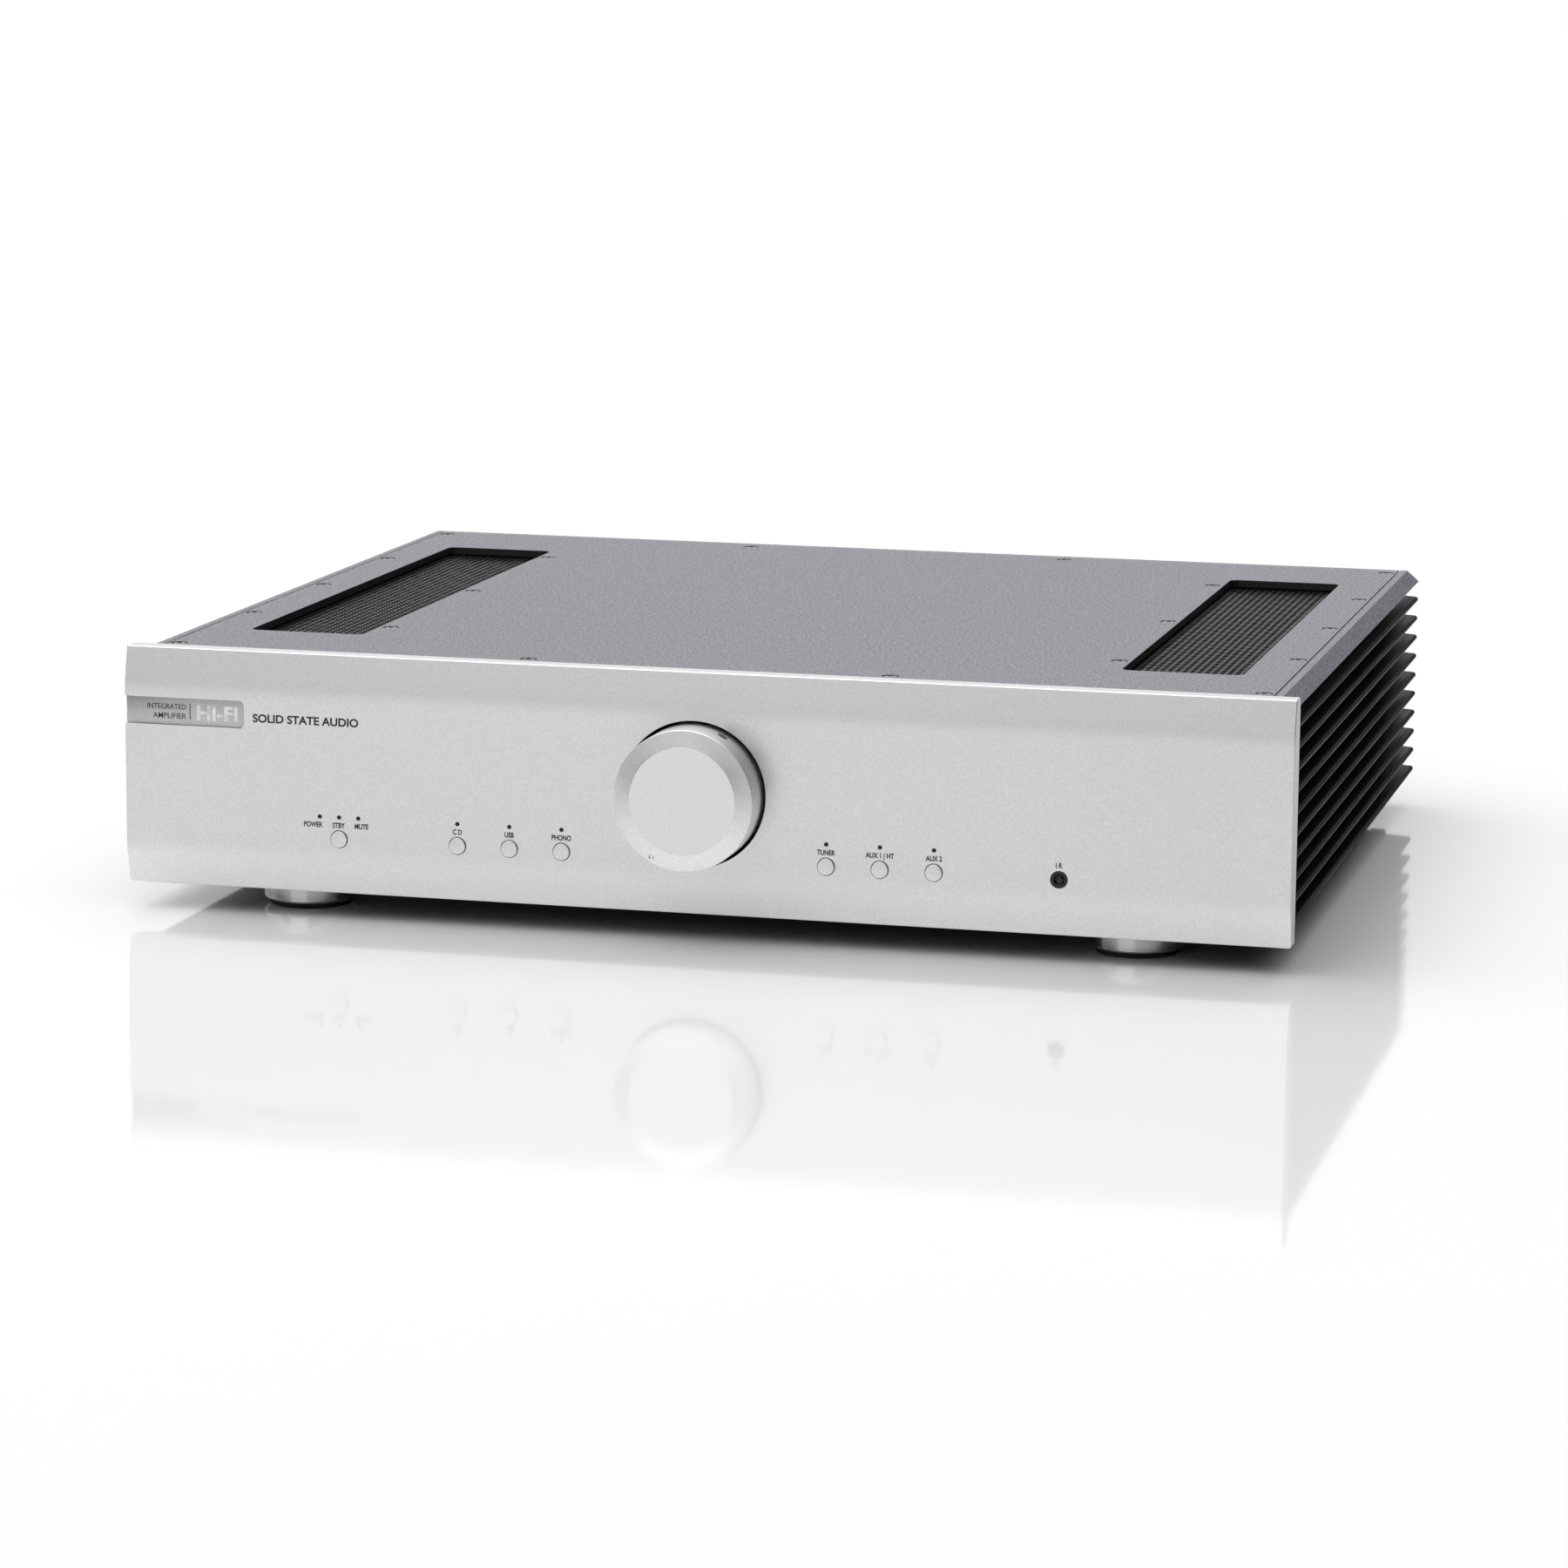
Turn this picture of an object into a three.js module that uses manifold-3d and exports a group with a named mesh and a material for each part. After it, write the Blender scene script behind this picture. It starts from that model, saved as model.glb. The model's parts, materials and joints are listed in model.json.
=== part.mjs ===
// Integrated amplifier: 440 mm wide hi-fi component with side heatsinks.
// Millimetres. +X right, +Y to the back, +Z up. The origin is on the floor, at the middle of the footprint.

import * as THREE from "three";
import { mergeVertices } from "three/addons/utils/BufferGeometryUtils.js";
import Module from "manifold-3d";

const wasm = await Module();
wasm.setup();

// ---- driving dimensions ----

const halfWidth = 220;
const totalHeight = 100;
const knobFaceY = -200;
const panelFrontY = -184;
const panelBackY = -173.3;
const bodyFrontY = -173;
const bodyRearY = 176;
const terminalEndY = 200;
const fit = 0.3; // clearance between pieces that rest on each other

const panelBottomZ = 10.3;
const panelLowerEdgeZ = 24;
const panelUpperEdgeZ = 86.3;
const panelLowerLean = 3.2;
const panelUpperLean = 3.1;
const panelCornerRadius = 1.2;

const badgeRightX = -173;
const badgeLowZ = 71.1;
const badgeHighZ = 81.5;
const badgeFaceDepth = 1.5;
const badgeThickness = 1.2;

const knobZ = 55.3;
const knobRadius = 26;
const knobDiscRadius = 19.9;
const knobRimY = -198.6;
const knobBackY = -176;
const knobHoleRadius = 27.2;
const shaftRadius = 3;
const shaftClearance = 0.1;
const grubAngle = THREE.MathUtils.degToRad(28);
const grubY = -189;

const buttonZ = 31.3;
const buttonRadius = 3.1;
const buttonHoleRadius = 3.35;
const buttonProud = 0.7;
const buttonTravel = 0.8;
const standbyX = -136;
const inputXs = [-90, -70, -50, 50, 70, 90];
const lightZ = 39.5;
const lightPitch = 7.5;
const lightRadius = 0.7;
const lightHoleRadius = 0.8;
const windowX = 136;
const windowRadius = 3.05;

const coverTopZ = 99.2;
const coverThickness = 3;
const coverHalfWidth = 209.7;
const coverBottomZ = coverTopZ - coverThickness;
const underCoverZ = coverBottomZ - fit;
const ventX = 169;
const ventWidth = 45;
const ventLength = 251;
const ventY = 0.5;
const ventCornerRadius = 3.5;
const screwRecessRadius = 3.4;
const screwRecessDepth = 1.7;

const finCount = 10;
const finPitch = 8;
const topFinZ = 87.2;
const finTipX = 217.8;
const finRootX = 207;
const webInnerX = 201;
const finTipHalf = 1.15;
const finRootHalf = 1.7;
const railLowZ = 94.1;

const sheet = 1.5;
const boardThickness = 1.6;
const chassisHalfWidth = webInnerX - fit;
const trayZ = 12;
const rearThickness = 2;
const rearInnerY = bodyRearY - rearThickness;

const footRadius = 17.5;
const footPadRadius = 15.5;
const footPadHeight = 1.8;
const footX = 159;
const footFrontY = -150;
const footRearY = 141;

// How many flats stand for a circle: on the knob and its hole, on other turned pieces, and on small holes.
const knobSides = 44;
const turnedSides = 24;
const roundSides = 14;
const smallSides = 10;
const tinySides = 6;

// ---- solids ----

const sameVertex = 1e-4; // vertices closer than this are one

function asSolid(geometry) {
  const bare = geometry.clone();
  bare.deleteAttribute("normal");
  bare.deleteAttribute("uv");
  const merged = mergeVertices(bare, sameVertex);
  return new wasm.Manifold(
    new wasm.Mesh({
      numProp: 3,
      vertProperties: new Float32Array(merged.attributes.position.array),
      triVerts: new Uint32Array(merged.index.array),
    }),
  );
}

function asGeometry(solid) {
  const mesh = solid.getMesh();
  const geometry = new THREE.BufferGeometry();
  geometry.setAttribute("position", new THREE.BufferAttribute(mesh.vertProperties, 3));
  geometry.setIndex(new THREE.BufferAttribute(mesh.triVerts, 1));
  const faceted = geometry.toNonIndexed();
  faceted.computeVertexNormals();
  return faceted;
}

function cut(solid, ...tools) {
  return tools.reduce((left, tool) => left.subtract(tool), solid);
}

function join(solid, ...others) {
  return others.reduce((sum, other) => sum.add(other), solid);
}

// A box from its lowest to its highest corner.
function box(x0, x1, y0, y1, z0, z1) {
  const geometry = new THREE.BoxGeometry(x1 - x0, y1 - y0, z1 - z0);
  geometry.translate((x0 + x1) / 2, (y0 + y1) / 2, (z0 + z1) / 2);
  return asSolid(geometry);
}

// A round bar along Y, from y0 to y1.
function barY(radius, y0, y1, x, z, sides = roundSides) {
  const geometry = new THREE.CylinderGeometry(radius, radius, y1 - y0, sides);
  geometry.translate(x, (y0 + y1) / 2, z);
  return asSolid(geometry);
}

// A round bar along Z, from z0 to z1.
function barZ(radius, z0, z1, x, y, sides = roundSides) {
  const geometry = new THREE.CylinderGeometry(radius, radius, z1 - z0, sides);
  geometry.rotateX(Math.PI / 2);
  geometry.translate(x, y, (z0 + z1) / 2);
  return asSolid(geometry);
}

// A round bar along X, from x0 to x1.
function barX(radius, x0, x1, y, z, sides = roundSides) {
  const geometry = new THREE.CylinderGeometry(radius, radius, x1 - x0, sides);
  geometry.rotateZ(Math.PI / 2);
  geometry.translate((x0 + x1) / 2, y, z);
  return asSolid(geometry);
}

// An outline of [y, z] points carried along X.
function prismX(points, x0, x1) {
  const shape = new THREE.Shape(points.map(([y, z]) => new THREE.Vector2(y, z)));
  const geometry = new THREE.ExtrudeGeometry(shape, { depth: x1 - x0, bevelEnabled: false });
  geometry.rotateY(Math.PI / 2);
  geometry.rotateX(Math.PI / 2);
  geometry.translate(x0, 0, 0);
  return asSolid(geometry);
}

// An outline of [x, z] points carried along Y.
function prismY(points, y0, y1) {
  const shape = new THREE.Shape(points.map(([x, z]) => new THREE.Vector2(x, z)));
  const geometry = new THREE.ExtrudeGeometry(shape, { depth: y1 - y0, bevelEnabled: false });
  geometry.rotateX(Math.PI / 2);
  geometry.translate(0, y1, 0);
  return asSolid(geometry);
}

// An upright plate whose plan is a rectangle with round corners.
function roundPlate(width, length, radius, x, y, z0, z1, curveSegments = 3) {
  const w = width / 2 - radius;
  const l = length / 2 - radius;
  const shape = new THREE.Shape();
  shape.absarc(w, l, radius, 0, Math.PI / 2);
  shape.absarc(-w, l, radius, Math.PI / 2, Math.PI);
  shape.absarc(-w, -l, radius, Math.PI, 1.5 * Math.PI);
  shape.absarc(w, -l, radius, 1.5 * Math.PI, 2 * Math.PI);
  const geometry = new THREE.ExtrudeGeometry(shape, {
    depth: z1 - z0,
    bevelEnabled: false,
    curveSegments,
  });
  geometry.translate(x, y, z0);
  return asSolid(geometry);
}

// A profile of [radius, height] points, bottom to top, turned about the upright line at x, y.
function turnedZ(profile, x, y, segments = turnedSides) {
  const points = profile.map(([radius, height]) => new THREE.Vector2(radius, height));
  const geometry = new THREE.LatheGeometry(points, segments);
  geometry.rotateX(Math.PI / 2);
  geometry.translate(x, y, 0);
  return asSolid(geometry);
}

// A profile of [radius, y] points, front to back, turned about the line along Y at x, z.
function turnedY(profile, x, z, segments = turnedSides) {
  const points = profile.map(([radius, along]) => new THREE.Vector2(radius, along));
  const geometry = new THREE.LatheGeometry(points, segments);
  geometry.translate(x, 0, z);
  return asSolid(geometry);
}

// ---- materials ----

function finish(color, roughness, metalness) {
  return new THREE.MeshStandardMaterial({ color, roughness, metalness });
}

const silver = finish(0xc8c9cb, 0.42, 0.9);
const badgeGrey = finish(0xa6a7aa, 0.5, 0.6);
const powderGrey = finish(0x84848c, 0.75, 0.2);
const finBlack = finish(0x2c2c30, 0.6, 0.5);
const blackSteel = finish(0x151517, 0.6, 0.4);
const blackPlastic = finish(0x111112, 0.5, 0);
const darkLens = finish(0x08080a, 0.15, 0);
const rubberBlack = finish(0x1a1a1b, 0.85, 0);
const polished = finish(0xb9babd, 0.15, 1);
const boardGreen = finish(0x1d4a2c, 0.6, 0);
const copperTape = finish(0x9c7a3c, 0.5, 0.2);
const sleeveBlue = finish(0x22304c, 0.45, 0);
const gold = finish(0xc9a24a, 0.3, 1);
const redPlastic = finish(0xa01c1c, 0.4, 0);
const clearGlass = finish(0xd8dcdc, 0.1, 0);

const amplifier = new THREE.Group();

function add(name, solid, material) {
  const mesh = new THREE.Mesh(asGeometry(solid), material);
  mesh.name = name;
  amplifier.add(mesh);
}

// ---- front panel and what sits in it ----

function frontPanel() {
  const r = panelCornerRadius;
  const outline = [
    [panelFrontY + panelLowerLean, panelBottomZ],
    [panelFrontY, panelLowerEdgeZ],
    [panelFrontY, panelUpperEdgeZ],
    [panelFrontY + panelUpperLean, totalHeight],
    [panelBackY, totalHeight],
    [panelBackY, panelBottomZ],
  ];
  const frame = [
    [-halfWidth + r, panelBottomZ],
    [halfWidth - r, panelBottomZ],
    [halfWidth, panelBottomZ + r],
    [halfWidth, totalHeight],
    [-halfWidth, totalHeight],
    [-halfWidth, panelBottomZ + r],
  ];
  const y0 = panelFrontY - 1;
  const y1 = panelBackY + 1;
  const slab = prismX(outline, -halfWidth, halfWidth).intersect(prismY(frame, y0, y1));
  const recess = box(
    -halfWidth - 1,
    badgeRightX,
    y0,
    panelFrontY + badgeFaceDepth + badgeThickness,
    badgeLowZ,
    badgeHighZ,
  );
  const holes = [
    barY(knobHoleRadius, y0, y1, 0, knobZ, knobSides),
    barY(windowRadius + 0.15, y0, y1, windowX, buttonZ),
    ...[standbyX, ...inputXs].map((x) => barY(buttonHoleRadius, y0, y1, x, buttonZ)),
    ...lightXs().map((x) => barY(lightHoleRadius, y0, y1, x, lightZ, tinySides)),
  ];
  return cut(slab, recess, ...holes);
}

function statusXs() {
  return [-1, 0, 1].map((step) => standbyX + step * lightPitch);
}

function lightXs() {
  return [...statusXs(), ...inputXs];
}

function badgePlate() {
  const y0 = panelFrontY + badgeFaceDepth;
  const edge = 0.2;
  return box(
    -halfWidth + edge,
    badgeRightX - edge,
    y0,
    y0 + badgeThickness - fit / 2,
    badgeLowZ + edge,
    badgeHighZ - edge,
  );
}

// Light pipes: pins through the panel, joined by a bar behind the sub-chassis.
function lightPipes(xs) {
  const barFrontY = bodyFrontY + sheet + fit;
  const margin = 2;
  const bar = box(
    Math.min(...xs) - margin,
    Math.max(...xs) + margin,
    barFrontY,
    barFrontY + 2.8,
    lightZ - 1.5,
    lightZ + 1.5,
  );
  const pins = xs.map((x) => barY(lightRadius, panelFrontY - 0.05, barFrontY + 1, x, lightZ, tinySides));
  return join(bar, ...pins);
}

function receiverWindow() {
  const flangeY = panelBackY + fit;
  return join(
    barY(windowRadius, panelFrontY - 0.1, flangeY + 1, windowX, buttonZ),
    barY(windowRadius + 1.4, flangeY, flangeY + 1.2, windowX, buttonZ),
  );
}

// A cap with a flange behind the panel and a stem that reaches its switch.
function pushButton(x) {
  const flangeY = panelBackY + fit;
  const stemEndY = switchFrontY - buttonTravel - 0.2;
  return join(
    barY(buttonRadius, panelFrontY - buttonProud, flangeY + 0.6, x, buttonZ),
    barY(buttonRadius + 1.2, flangeY, flangeY + 1, x, buttonZ),
    barY(1.5, flangeY + 0.5, stemEndY, x, buttonZ, smallSides),
  );
}

// ---- sub-chassis and control board ----

const boardFrontY = -164;
const switchDepth = 3.6;
const switchFrontY = boardFrontY - switchDepth;

function subChassis() {
  const y0 = bodyFrontY;
  const y1 = bodyFrontY + sheet;
  const plate = box(-chassisHalfWidth, chassisHalfWidth, y0, y1, trayZ, underCoverZ);
  const holes = [
    barY(5.2, y0 - 1, y1 + 1, 0, knobZ),
    barY(5, y0 - 1, y1 + 1, windowX, buttonZ, smallSides),
    ...[standbyX, ...inputXs].map((x) => barY(5, y0 - 1, y1 + 1, x, buttonZ, smallSides)),
    ...lightXs().map((x) => barY(1.2, y0 - 1, y1 + 1, x, lightZ, tinySides)),
  ];
  return cut(plate, ...holes);
}

function controlBoard() {
  const halfLength = 150;
  const halfSwitch = 3;
  const receiverFrontY = boardFrontY - 4;
  const partBackY = boardFrontY + 0.5;
  const lowZ = buttonZ - halfSwitch;
  const highZ = buttonZ + halfSwitch;
  const board = box(-halfLength, halfLength, boardFrontY, boardFrontY + boardThickness, 21, 41);
  const switches = [standbyX, ...inputXs].map((x) =>
    box(x - halfSwitch, x + halfSwitch, switchFrontY, partBackY, lowZ, highZ),
  );
  const receiver = box(
    windowX - halfSwitch,
    windowX + halfSwitch,
    receiverFrontY,
    partBackY,
    lowZ,
    highZ + 1,
  );
  return join(board, receiver, ...switches);
}

// ---- volume control ----

function knobBore() {
  return shaftRadius + shaftClearance;
}

function volumeKnob() {
  const wallInner = 22;
  const hubRadius = 8;
  const hollowY = -192.5;
  const hubBackY = -177;
  const boreEndY = -194;
  const profile = [[0, knobFaceY]];
  const steps = 4;
  for (let i = 0; i <= steps; i += 1) {
    const t = i / steps;
    const drop = (knobRimY - knobFaceY) * t * t;
    profile.push([knobDiscRadius + (knobRadius - knobDiscRadius) * t, knobFaceY + drop]);
  }
  profile.push(
    [knobRadius, knobBackY],
    [wallInner, knobBackY],
    [wallInner, hollowY],
    [hubRadius, hollowY],
    [hubRadius, hubBackY],
    [knobBore(), hubBackY],
    [knobBore(), boreEndY],
    [0, boreEndY],
  );
  return cut(turnedY(profile, 0, knobZ, knobSides), grubBar(2, 2, knobRadius + 2));
}

// A bar that points out from the knob's axis at the grub screw's angle.
function grubBar(radius, inner, outer) {
  const geometry = new THREE.CylinderGeometry(radius, radius, outer - inner, smallSides);
  geometry.translate(0, (inner + outer) / 2, 0);
  geometry.rotateX(Math.PI / 2);
  geometry.rotateY(grubAngle);
  geometry.translate(0, grubY, knobZ);
  return asSolid(geometry);
}

const shaftFrontY = -193.7;
const shaftBackY = -151.5;
const potBackY = -150;

function volumeShaft() {
  return barY(shaftRadius, shaftFrontY, shaftBackY, 0, knobZ);
}

// Potentiometer with its threaded bush and nut in front and its motor behind.
function volumePot() {
  const bodyY = bodyFrontY + sheet + fit;
  const bushRadius = 4.9;
  const nutRadius = 7.5;
  const nutThickness = 1.6;
  const nutY = bodyFrontY - fit - nutThickness;
  const halfBody = 13;
  const motorRadius = 10;
  const motorBackY = -122;
  const boreBackY = shaftBackY + 0.5;
  const solid = join(
    barY(bushRadius, nutY - 0.5, bodyY + 1, 0, knobZ),
    barY(nutRadius, nutY, nutY + nutThickness, 0, knobZ, tinySides),
    box(-halfBody, halfBody, bodyY, potBackY, knobZ - halfBody, knobZ + halfBody),
    barY(motorRadius, potBackY - 0.5, motorBackY, 0, knobZ, turnedSides),
  );
  return cut(solid, barY(shaftRadius + shaftClearance, nutY - 2, boreBackY, 0, knobZ));
}

// ---- body ----

function topCover() {
  const y0 = bodyFrontY;
  const y1 = bodyRearY;
  const plate = box(-coverHalfWidth, coverHalfWidth, y0, y1, coverBottomZ, coverTopZ);
  const windows = [-ventX, ventX].map((x) =>
    roundPlate(ventWidth, ventLength, ventCornerRadius, x, ventY, coverBottomZ - 1, coverTopZ + 1),
  );
  const recesses = screwPlaces().map(([x, y]) =>
    barZ(screwRecessRadius, coverTopZ - screwRecessDepth, coverTopZ + 1, x, y, smallSides),
  );
  return cut(plate, ...windows, ...recesses);
}

function screwPlaces() {
  const frontY = -163.9;
  const rearY = 165.9;
  const middleY = 1;
  const quarter = (rearY - frontY) / 4;
  const places = [];
  for (const side of [-1, 1]) {
    for (let i = -2; i <= 2; i += 1) {
      places.push([side * 205.5, middleY + i * quarter]);
    }
    for (const y of [-103.6, middleY, 106.9]) {
      places.push([side * 142, y]);
    }
    places.push([side * 68.6, frontY], [side * 68.6, rearY]);
  }
  return places;
}

// A plate with slots, hung under a window of the cover.
function ventMesh(x) {
  const margin = 2.5;
  const topZ = underCoverZ;
  const slotPitch = 9;
  const slotHalf = 1.8;
  const slotHalfLength = 20;
  const width = ventWidth + 2 * margin;
  const length = ventLength + 2 * margin;
  const plate = box(
    x - width / 2,
    x + width / 2,
    ventY - length / 2,
    ventY + length / 2,
    topZ - 1,
    topZ,
  );
  const slots = [];
  const count = 13;
  for (let i = -count; i <= count; i += 1) {
    const y = ventY + i * slotPitch;
    slots.push(
      box(x - slotHalfLength, x + slotHalfLength, y - slotHalf, y + slotHalf, topZ - 2, topZ + 1),
    );
  }
  return cut(plate, ...slots);
}

// Section of the right heatsink: web, ten round-tipped fins and the rail along the cover's edge.
function heatsinkSection() {
  const points = [
    [webInnerX, 11.5],
    [finRootX, 11.5],
  ];
  for (let i = finCount - 1; i >= 0; i -= 1) {
    const z = topFinZ - i * finPitch;
    const tipCentreX = finTipX - finTipHalf;
    points.push([finRootX, z - finRootHalf]);
    for (let step = -2; step <= 2; step += 1) {
      const angle = (step * Math.PI) / 4;
      points.push([tipCentreX + finTipHalf * Math.cos(angle), z + finTipHalf * Math.sin(angle)]);
    }
    points.push([finRootX, z + finRootHalf]);
  }
  points.push(
    [finRootX, railLowZ],
    [finTipX - 0.6, railLowZ],
    [finTipX, railLowZ + 0.6],
    [finTipX, 95],
    [213, coverTopZ],
    [210, coverTopZ],
    [210, underCoverZ],
    [webInnerX, underCoverZ],
  );
  return points;
}

function heatsink(side) {
  const points = heatsinkSection().map(([x, z]) => [side * x, z]);
  return prismY(points, bodyFrontY, bodyRearY);
}

function baseTray() {
  const frontY = bodyFrontY + sheet + fit;
  const rearY = rearInnerY - fit;
  const lipHeight = 8;
  const slotCount = 10;
  const slotPitch = 22;
  const slotHalfWidth = 1.9;
  const slotHalfLength = 20;
  const firstSlotY = -100;
  const floor = box(-chassisHalfWidth, chassisHalfWidth, frontY, rearY, trayZ, trayZ + sheet);
  const lips = [-1, 1].map((side) => {
    const outer = side * chassisHalfWidth;
    const inner = side * (chassisHalfWidth - sheet);
    const x0 = Math.min(outer, inner);
    const x1 = Math.max(outer, inner);
    return box(x0, x1, frontY, rearY, trayZ, trayZ + lipHeight);
  });
  const slots = [];
  for (const side of [-1, 1]) {
    const x = side * ventX;
    for (let i = 0; i < slotCount; i += 1) {
      const y = firstSlotY + i * slotPitch;
      slots.push(
        box(
          x - slotHalfLength,
          x + slotHalfLength,
          y - slotHalfWidth,
          y + slotHalfWidth,
          trayZ - 1,
          trayZ + sheet + 1,
        ),
      );
    }
  }
  return cut(join(floor, ...lips), ...slots);
}

function foot(x, y) {
  const low = footPadHeight + 0.2;
  const high = trayZ - 0.2;
  const profile = [
    [0, low],
    [footRadius - 1, low],
    [footRadius, low + 1],
    [footRadius, high],
    [0, high],
  ];
  return turnedZ(profile, x, y);
}

function footPad(x, y) {
  return barZ(footPadRadius, 0, footPadHeight, x, y, turnedSides);
}

// ---- power supply ----

const coilY = -48;
const coilLowZ = 14;
const coilHighZ = 66;

function transformer() {
  const outer = 60;
  const inner = 20;
  const round = 10;
  const profile = [];
  const corners = [
    [outer - round, coilLowZ + round, -90],
    [outer - round, coilHighZ - round, 0],
    [inner + round, coilHighZ - round, 90],
    [inner + round, coilLowZ + round, 180],
  ];
  for (const [r, z, start] of corners) {
    for (let step = 0; step <= 3; step += 1) {
      const angle = THREE.MathUtils.degToRad(start + step * 30);
      profile.push([r + round * Math.cos(angle), z + round * Math.sin(angle)]);
    }
  }
  profile.push(profile[0]);
  return turnedZ(profile, 0, coilY);
}

function transformerClamp() {
  const low = coilHighZ + fit;
  return cut(barZ(32, low, low + 2, 0, coilY, turnedSides), barZ(4.3, low - 1, low + 3, 0, coilY));
}

function transformerBolt() {
  const headZ = coilHighZ + 2 + 2 * fit;
  return join(
    barZ(4, trayZ + sheet + fit, headZ + 1, 0, coilY),
    barZ(7.5, headZ, headZ + 5.5, 0, coilY, tinySides),
  );
}

const supplyBoardZ = 22;
const capacitorRadius = 17.5;
const capacitorHeight = 48;

function powerSupplyBoard() {
  const board = box(-60, 60, 30, 112, supplyBoardZ, supplyBoardZ + boardThickness);
  const spacers = [];
  for (const x of [-54, 54]) {
    for (const y of [36, 106]) {
      spacers.push(barZ(3, trayZ + sheet + fit, supplyBoardZ + 0.5, x, y, tinySides));
    }
  }
  const rectifier = box(-14, 14, 92, 98, supplyBoardZ + 1, supplyBoardZ + 22);
  return join(board, rectifier, ...spacers);
}

function capacitor(x) {
  const low = supplyBoardZ + boardThickness + 0.1;
  const high = low + capacitorHeight;
  const profile = [
    [0, low],
    [capacitorRadius, low],
    [capacitorRadius, high - 1],
    [capacitorRadius - 1, high],
    [0, high],
  ];
  return turnedZ(profile, x, 64);
}

// A board upright beside the heatsink, with its output transistors held on the web.
function ampBoard(side) {
  const place = (x0, x1, y0, y1, z0, z1) =>
    box(Math.min(side * x0, side * x1), Math.max(side * x0, side * x1), y0, y1, z0, z1);
  const board = place(185, 186.6, -60, 100, 24, 84);
  const parts = [];
  for (const y of [-42, -4, 44, 82]) {
    parts.push(place(195.5, webInnerX - fit, y - 8, y + 8, 46, 68));
    parts.push(place(186, 196, y - 6, y + 6, 48, 52));
  }
  for (const y of [-20, 20, 62]) {
    parts.push(place(173, 185.5, y - 6, y + 6, 40, 66));
  }
  return join(board, ...parts);
}

// ---- rear panel and its sockets ----

const socketXs = [165, 128, 91];
const socketZ = 60;
const socketPitchX = 14;
const socketPitchZ = 18;
const sleeveRadius = 4.15;
const usbX = 58;
const usbZ = 46;
const groundX = 188;
const groundZ = 82;
const speakerXs = [-48, 14];
const speakerZ = 60;
const postPitch = 19;
const rockerX = -108;
const rockerZ = 56;
const inletX = -160;
const inletZ = 54;

function socketPlaces(x) {
  const places = [];
  for (const dx of [-0.5, 0.5]) {
    for (const dz of [-0.5, 0.5]) {
      places.push([x + dx * socketPitchX, socketZ + dz * socketPitchZ]);
    }
  }
  return places;
}

function postXs(x) {
  return [x - postPitch / 2, x + postPitch / 2];
}

function rearPanel() {
  const y0 = rearInnerY;
  const y1 = bodyRearY;
  const plate = box(-chassisHalfWidth, chassisHalfWidth, y0, y1, trayZ, underCoverZ);
  const holes = [
    ...socketXs.flatMap((x) =>
      socketPlaces(x).map(([sx, sz]) => barY(sleeveRadius + 0.5, y0 - 1, y1 + 1, sx, sz, smallSides)),
    ),
    ...speakerXs.flatMap((x) =>
      postXs(x).map((px) => barY(5.3, y0 - 1, y1 + 1, px, speakerZ, smallSides)),
    ),
    box(usbX - 6.3, usbX + 6.3, y0 - 1, y1 + 1, usbZ - 5.8, usbZ + 5.8),
    barY(2.4, y0 - 1, y1 + 1, groundX, groundZ, smallSides),
    box(inletX - 14.3, inletX + 14.3, y0 - 1, y1 + 1, inletZ - 16.1, inletZ + 12.3),
    box(rockerX - 11.3, rockerX + 11.3, y0 - 1, y1 + 1, rockerZ - 15.3, rockerZ + 15.3),
  ];
  return cut(plate, ...holes);
}

const inputBoardY = 157;

function inputBoard() {
  return box(50, 182, inputBoardY, inputBoardY + boardThickness, 34, 86);
}

// A moulded block with four phono sockets: two stereo pairs.
function socketBlock(x) {
  const y0 = inputBoardY + boardThickness + fit;
  const y1 = rearInnerY - fit;
  const sleeveEndY = bodyRearY + 9.5;
  const body = box(x - 15, x + 15, y0, y1, socketZ - 18, socketZ + 18);
  const sleeves = socketPlaces(x).map(([sx, sz]) =>
    barY(sleeveRadius, y1 - 1, sleeveEndY, sx, sz, smallSides),
  );
  const pinHoles = socketPlaces(x).map(([sx, sz]) =>
    barY(1.65, sleeveEndY - 9, sleeveEndY + 1, sx, sz, tinySides),
  );
  return cut(join(body, ...sleeves), ...pinHoles);
}

function dataSocket() {
  const endY = bodyRearY + 0.6;
  const y0 = inputBoardY + boardThickness + fit;
  const shell = box(usbX - 6, usbX + 6, y0, endY, usbZ - 5.5, usbZ + 5.5);
  const cavity = box(usbX - 4.3, usbX + 4.3, endY - 9, endY + 1, usbZ - 3.95, usbZ + 3.95);
  const tongue = box(usbX - 2.8, usbX + 2.8, endY - 9.5, endY - 1, usbZ - 1.6, usbZ + 1.6);
  return join(cut(shell, cavity), tongue);
}

const inletFlangeY = bodyRearY + 0.2;
const inletFaceY = inletFlangeY + 2.5;
const drawerLowZ = inletZ - 13.8;
const drawerHighZ = inletZ - 7.4;

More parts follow.
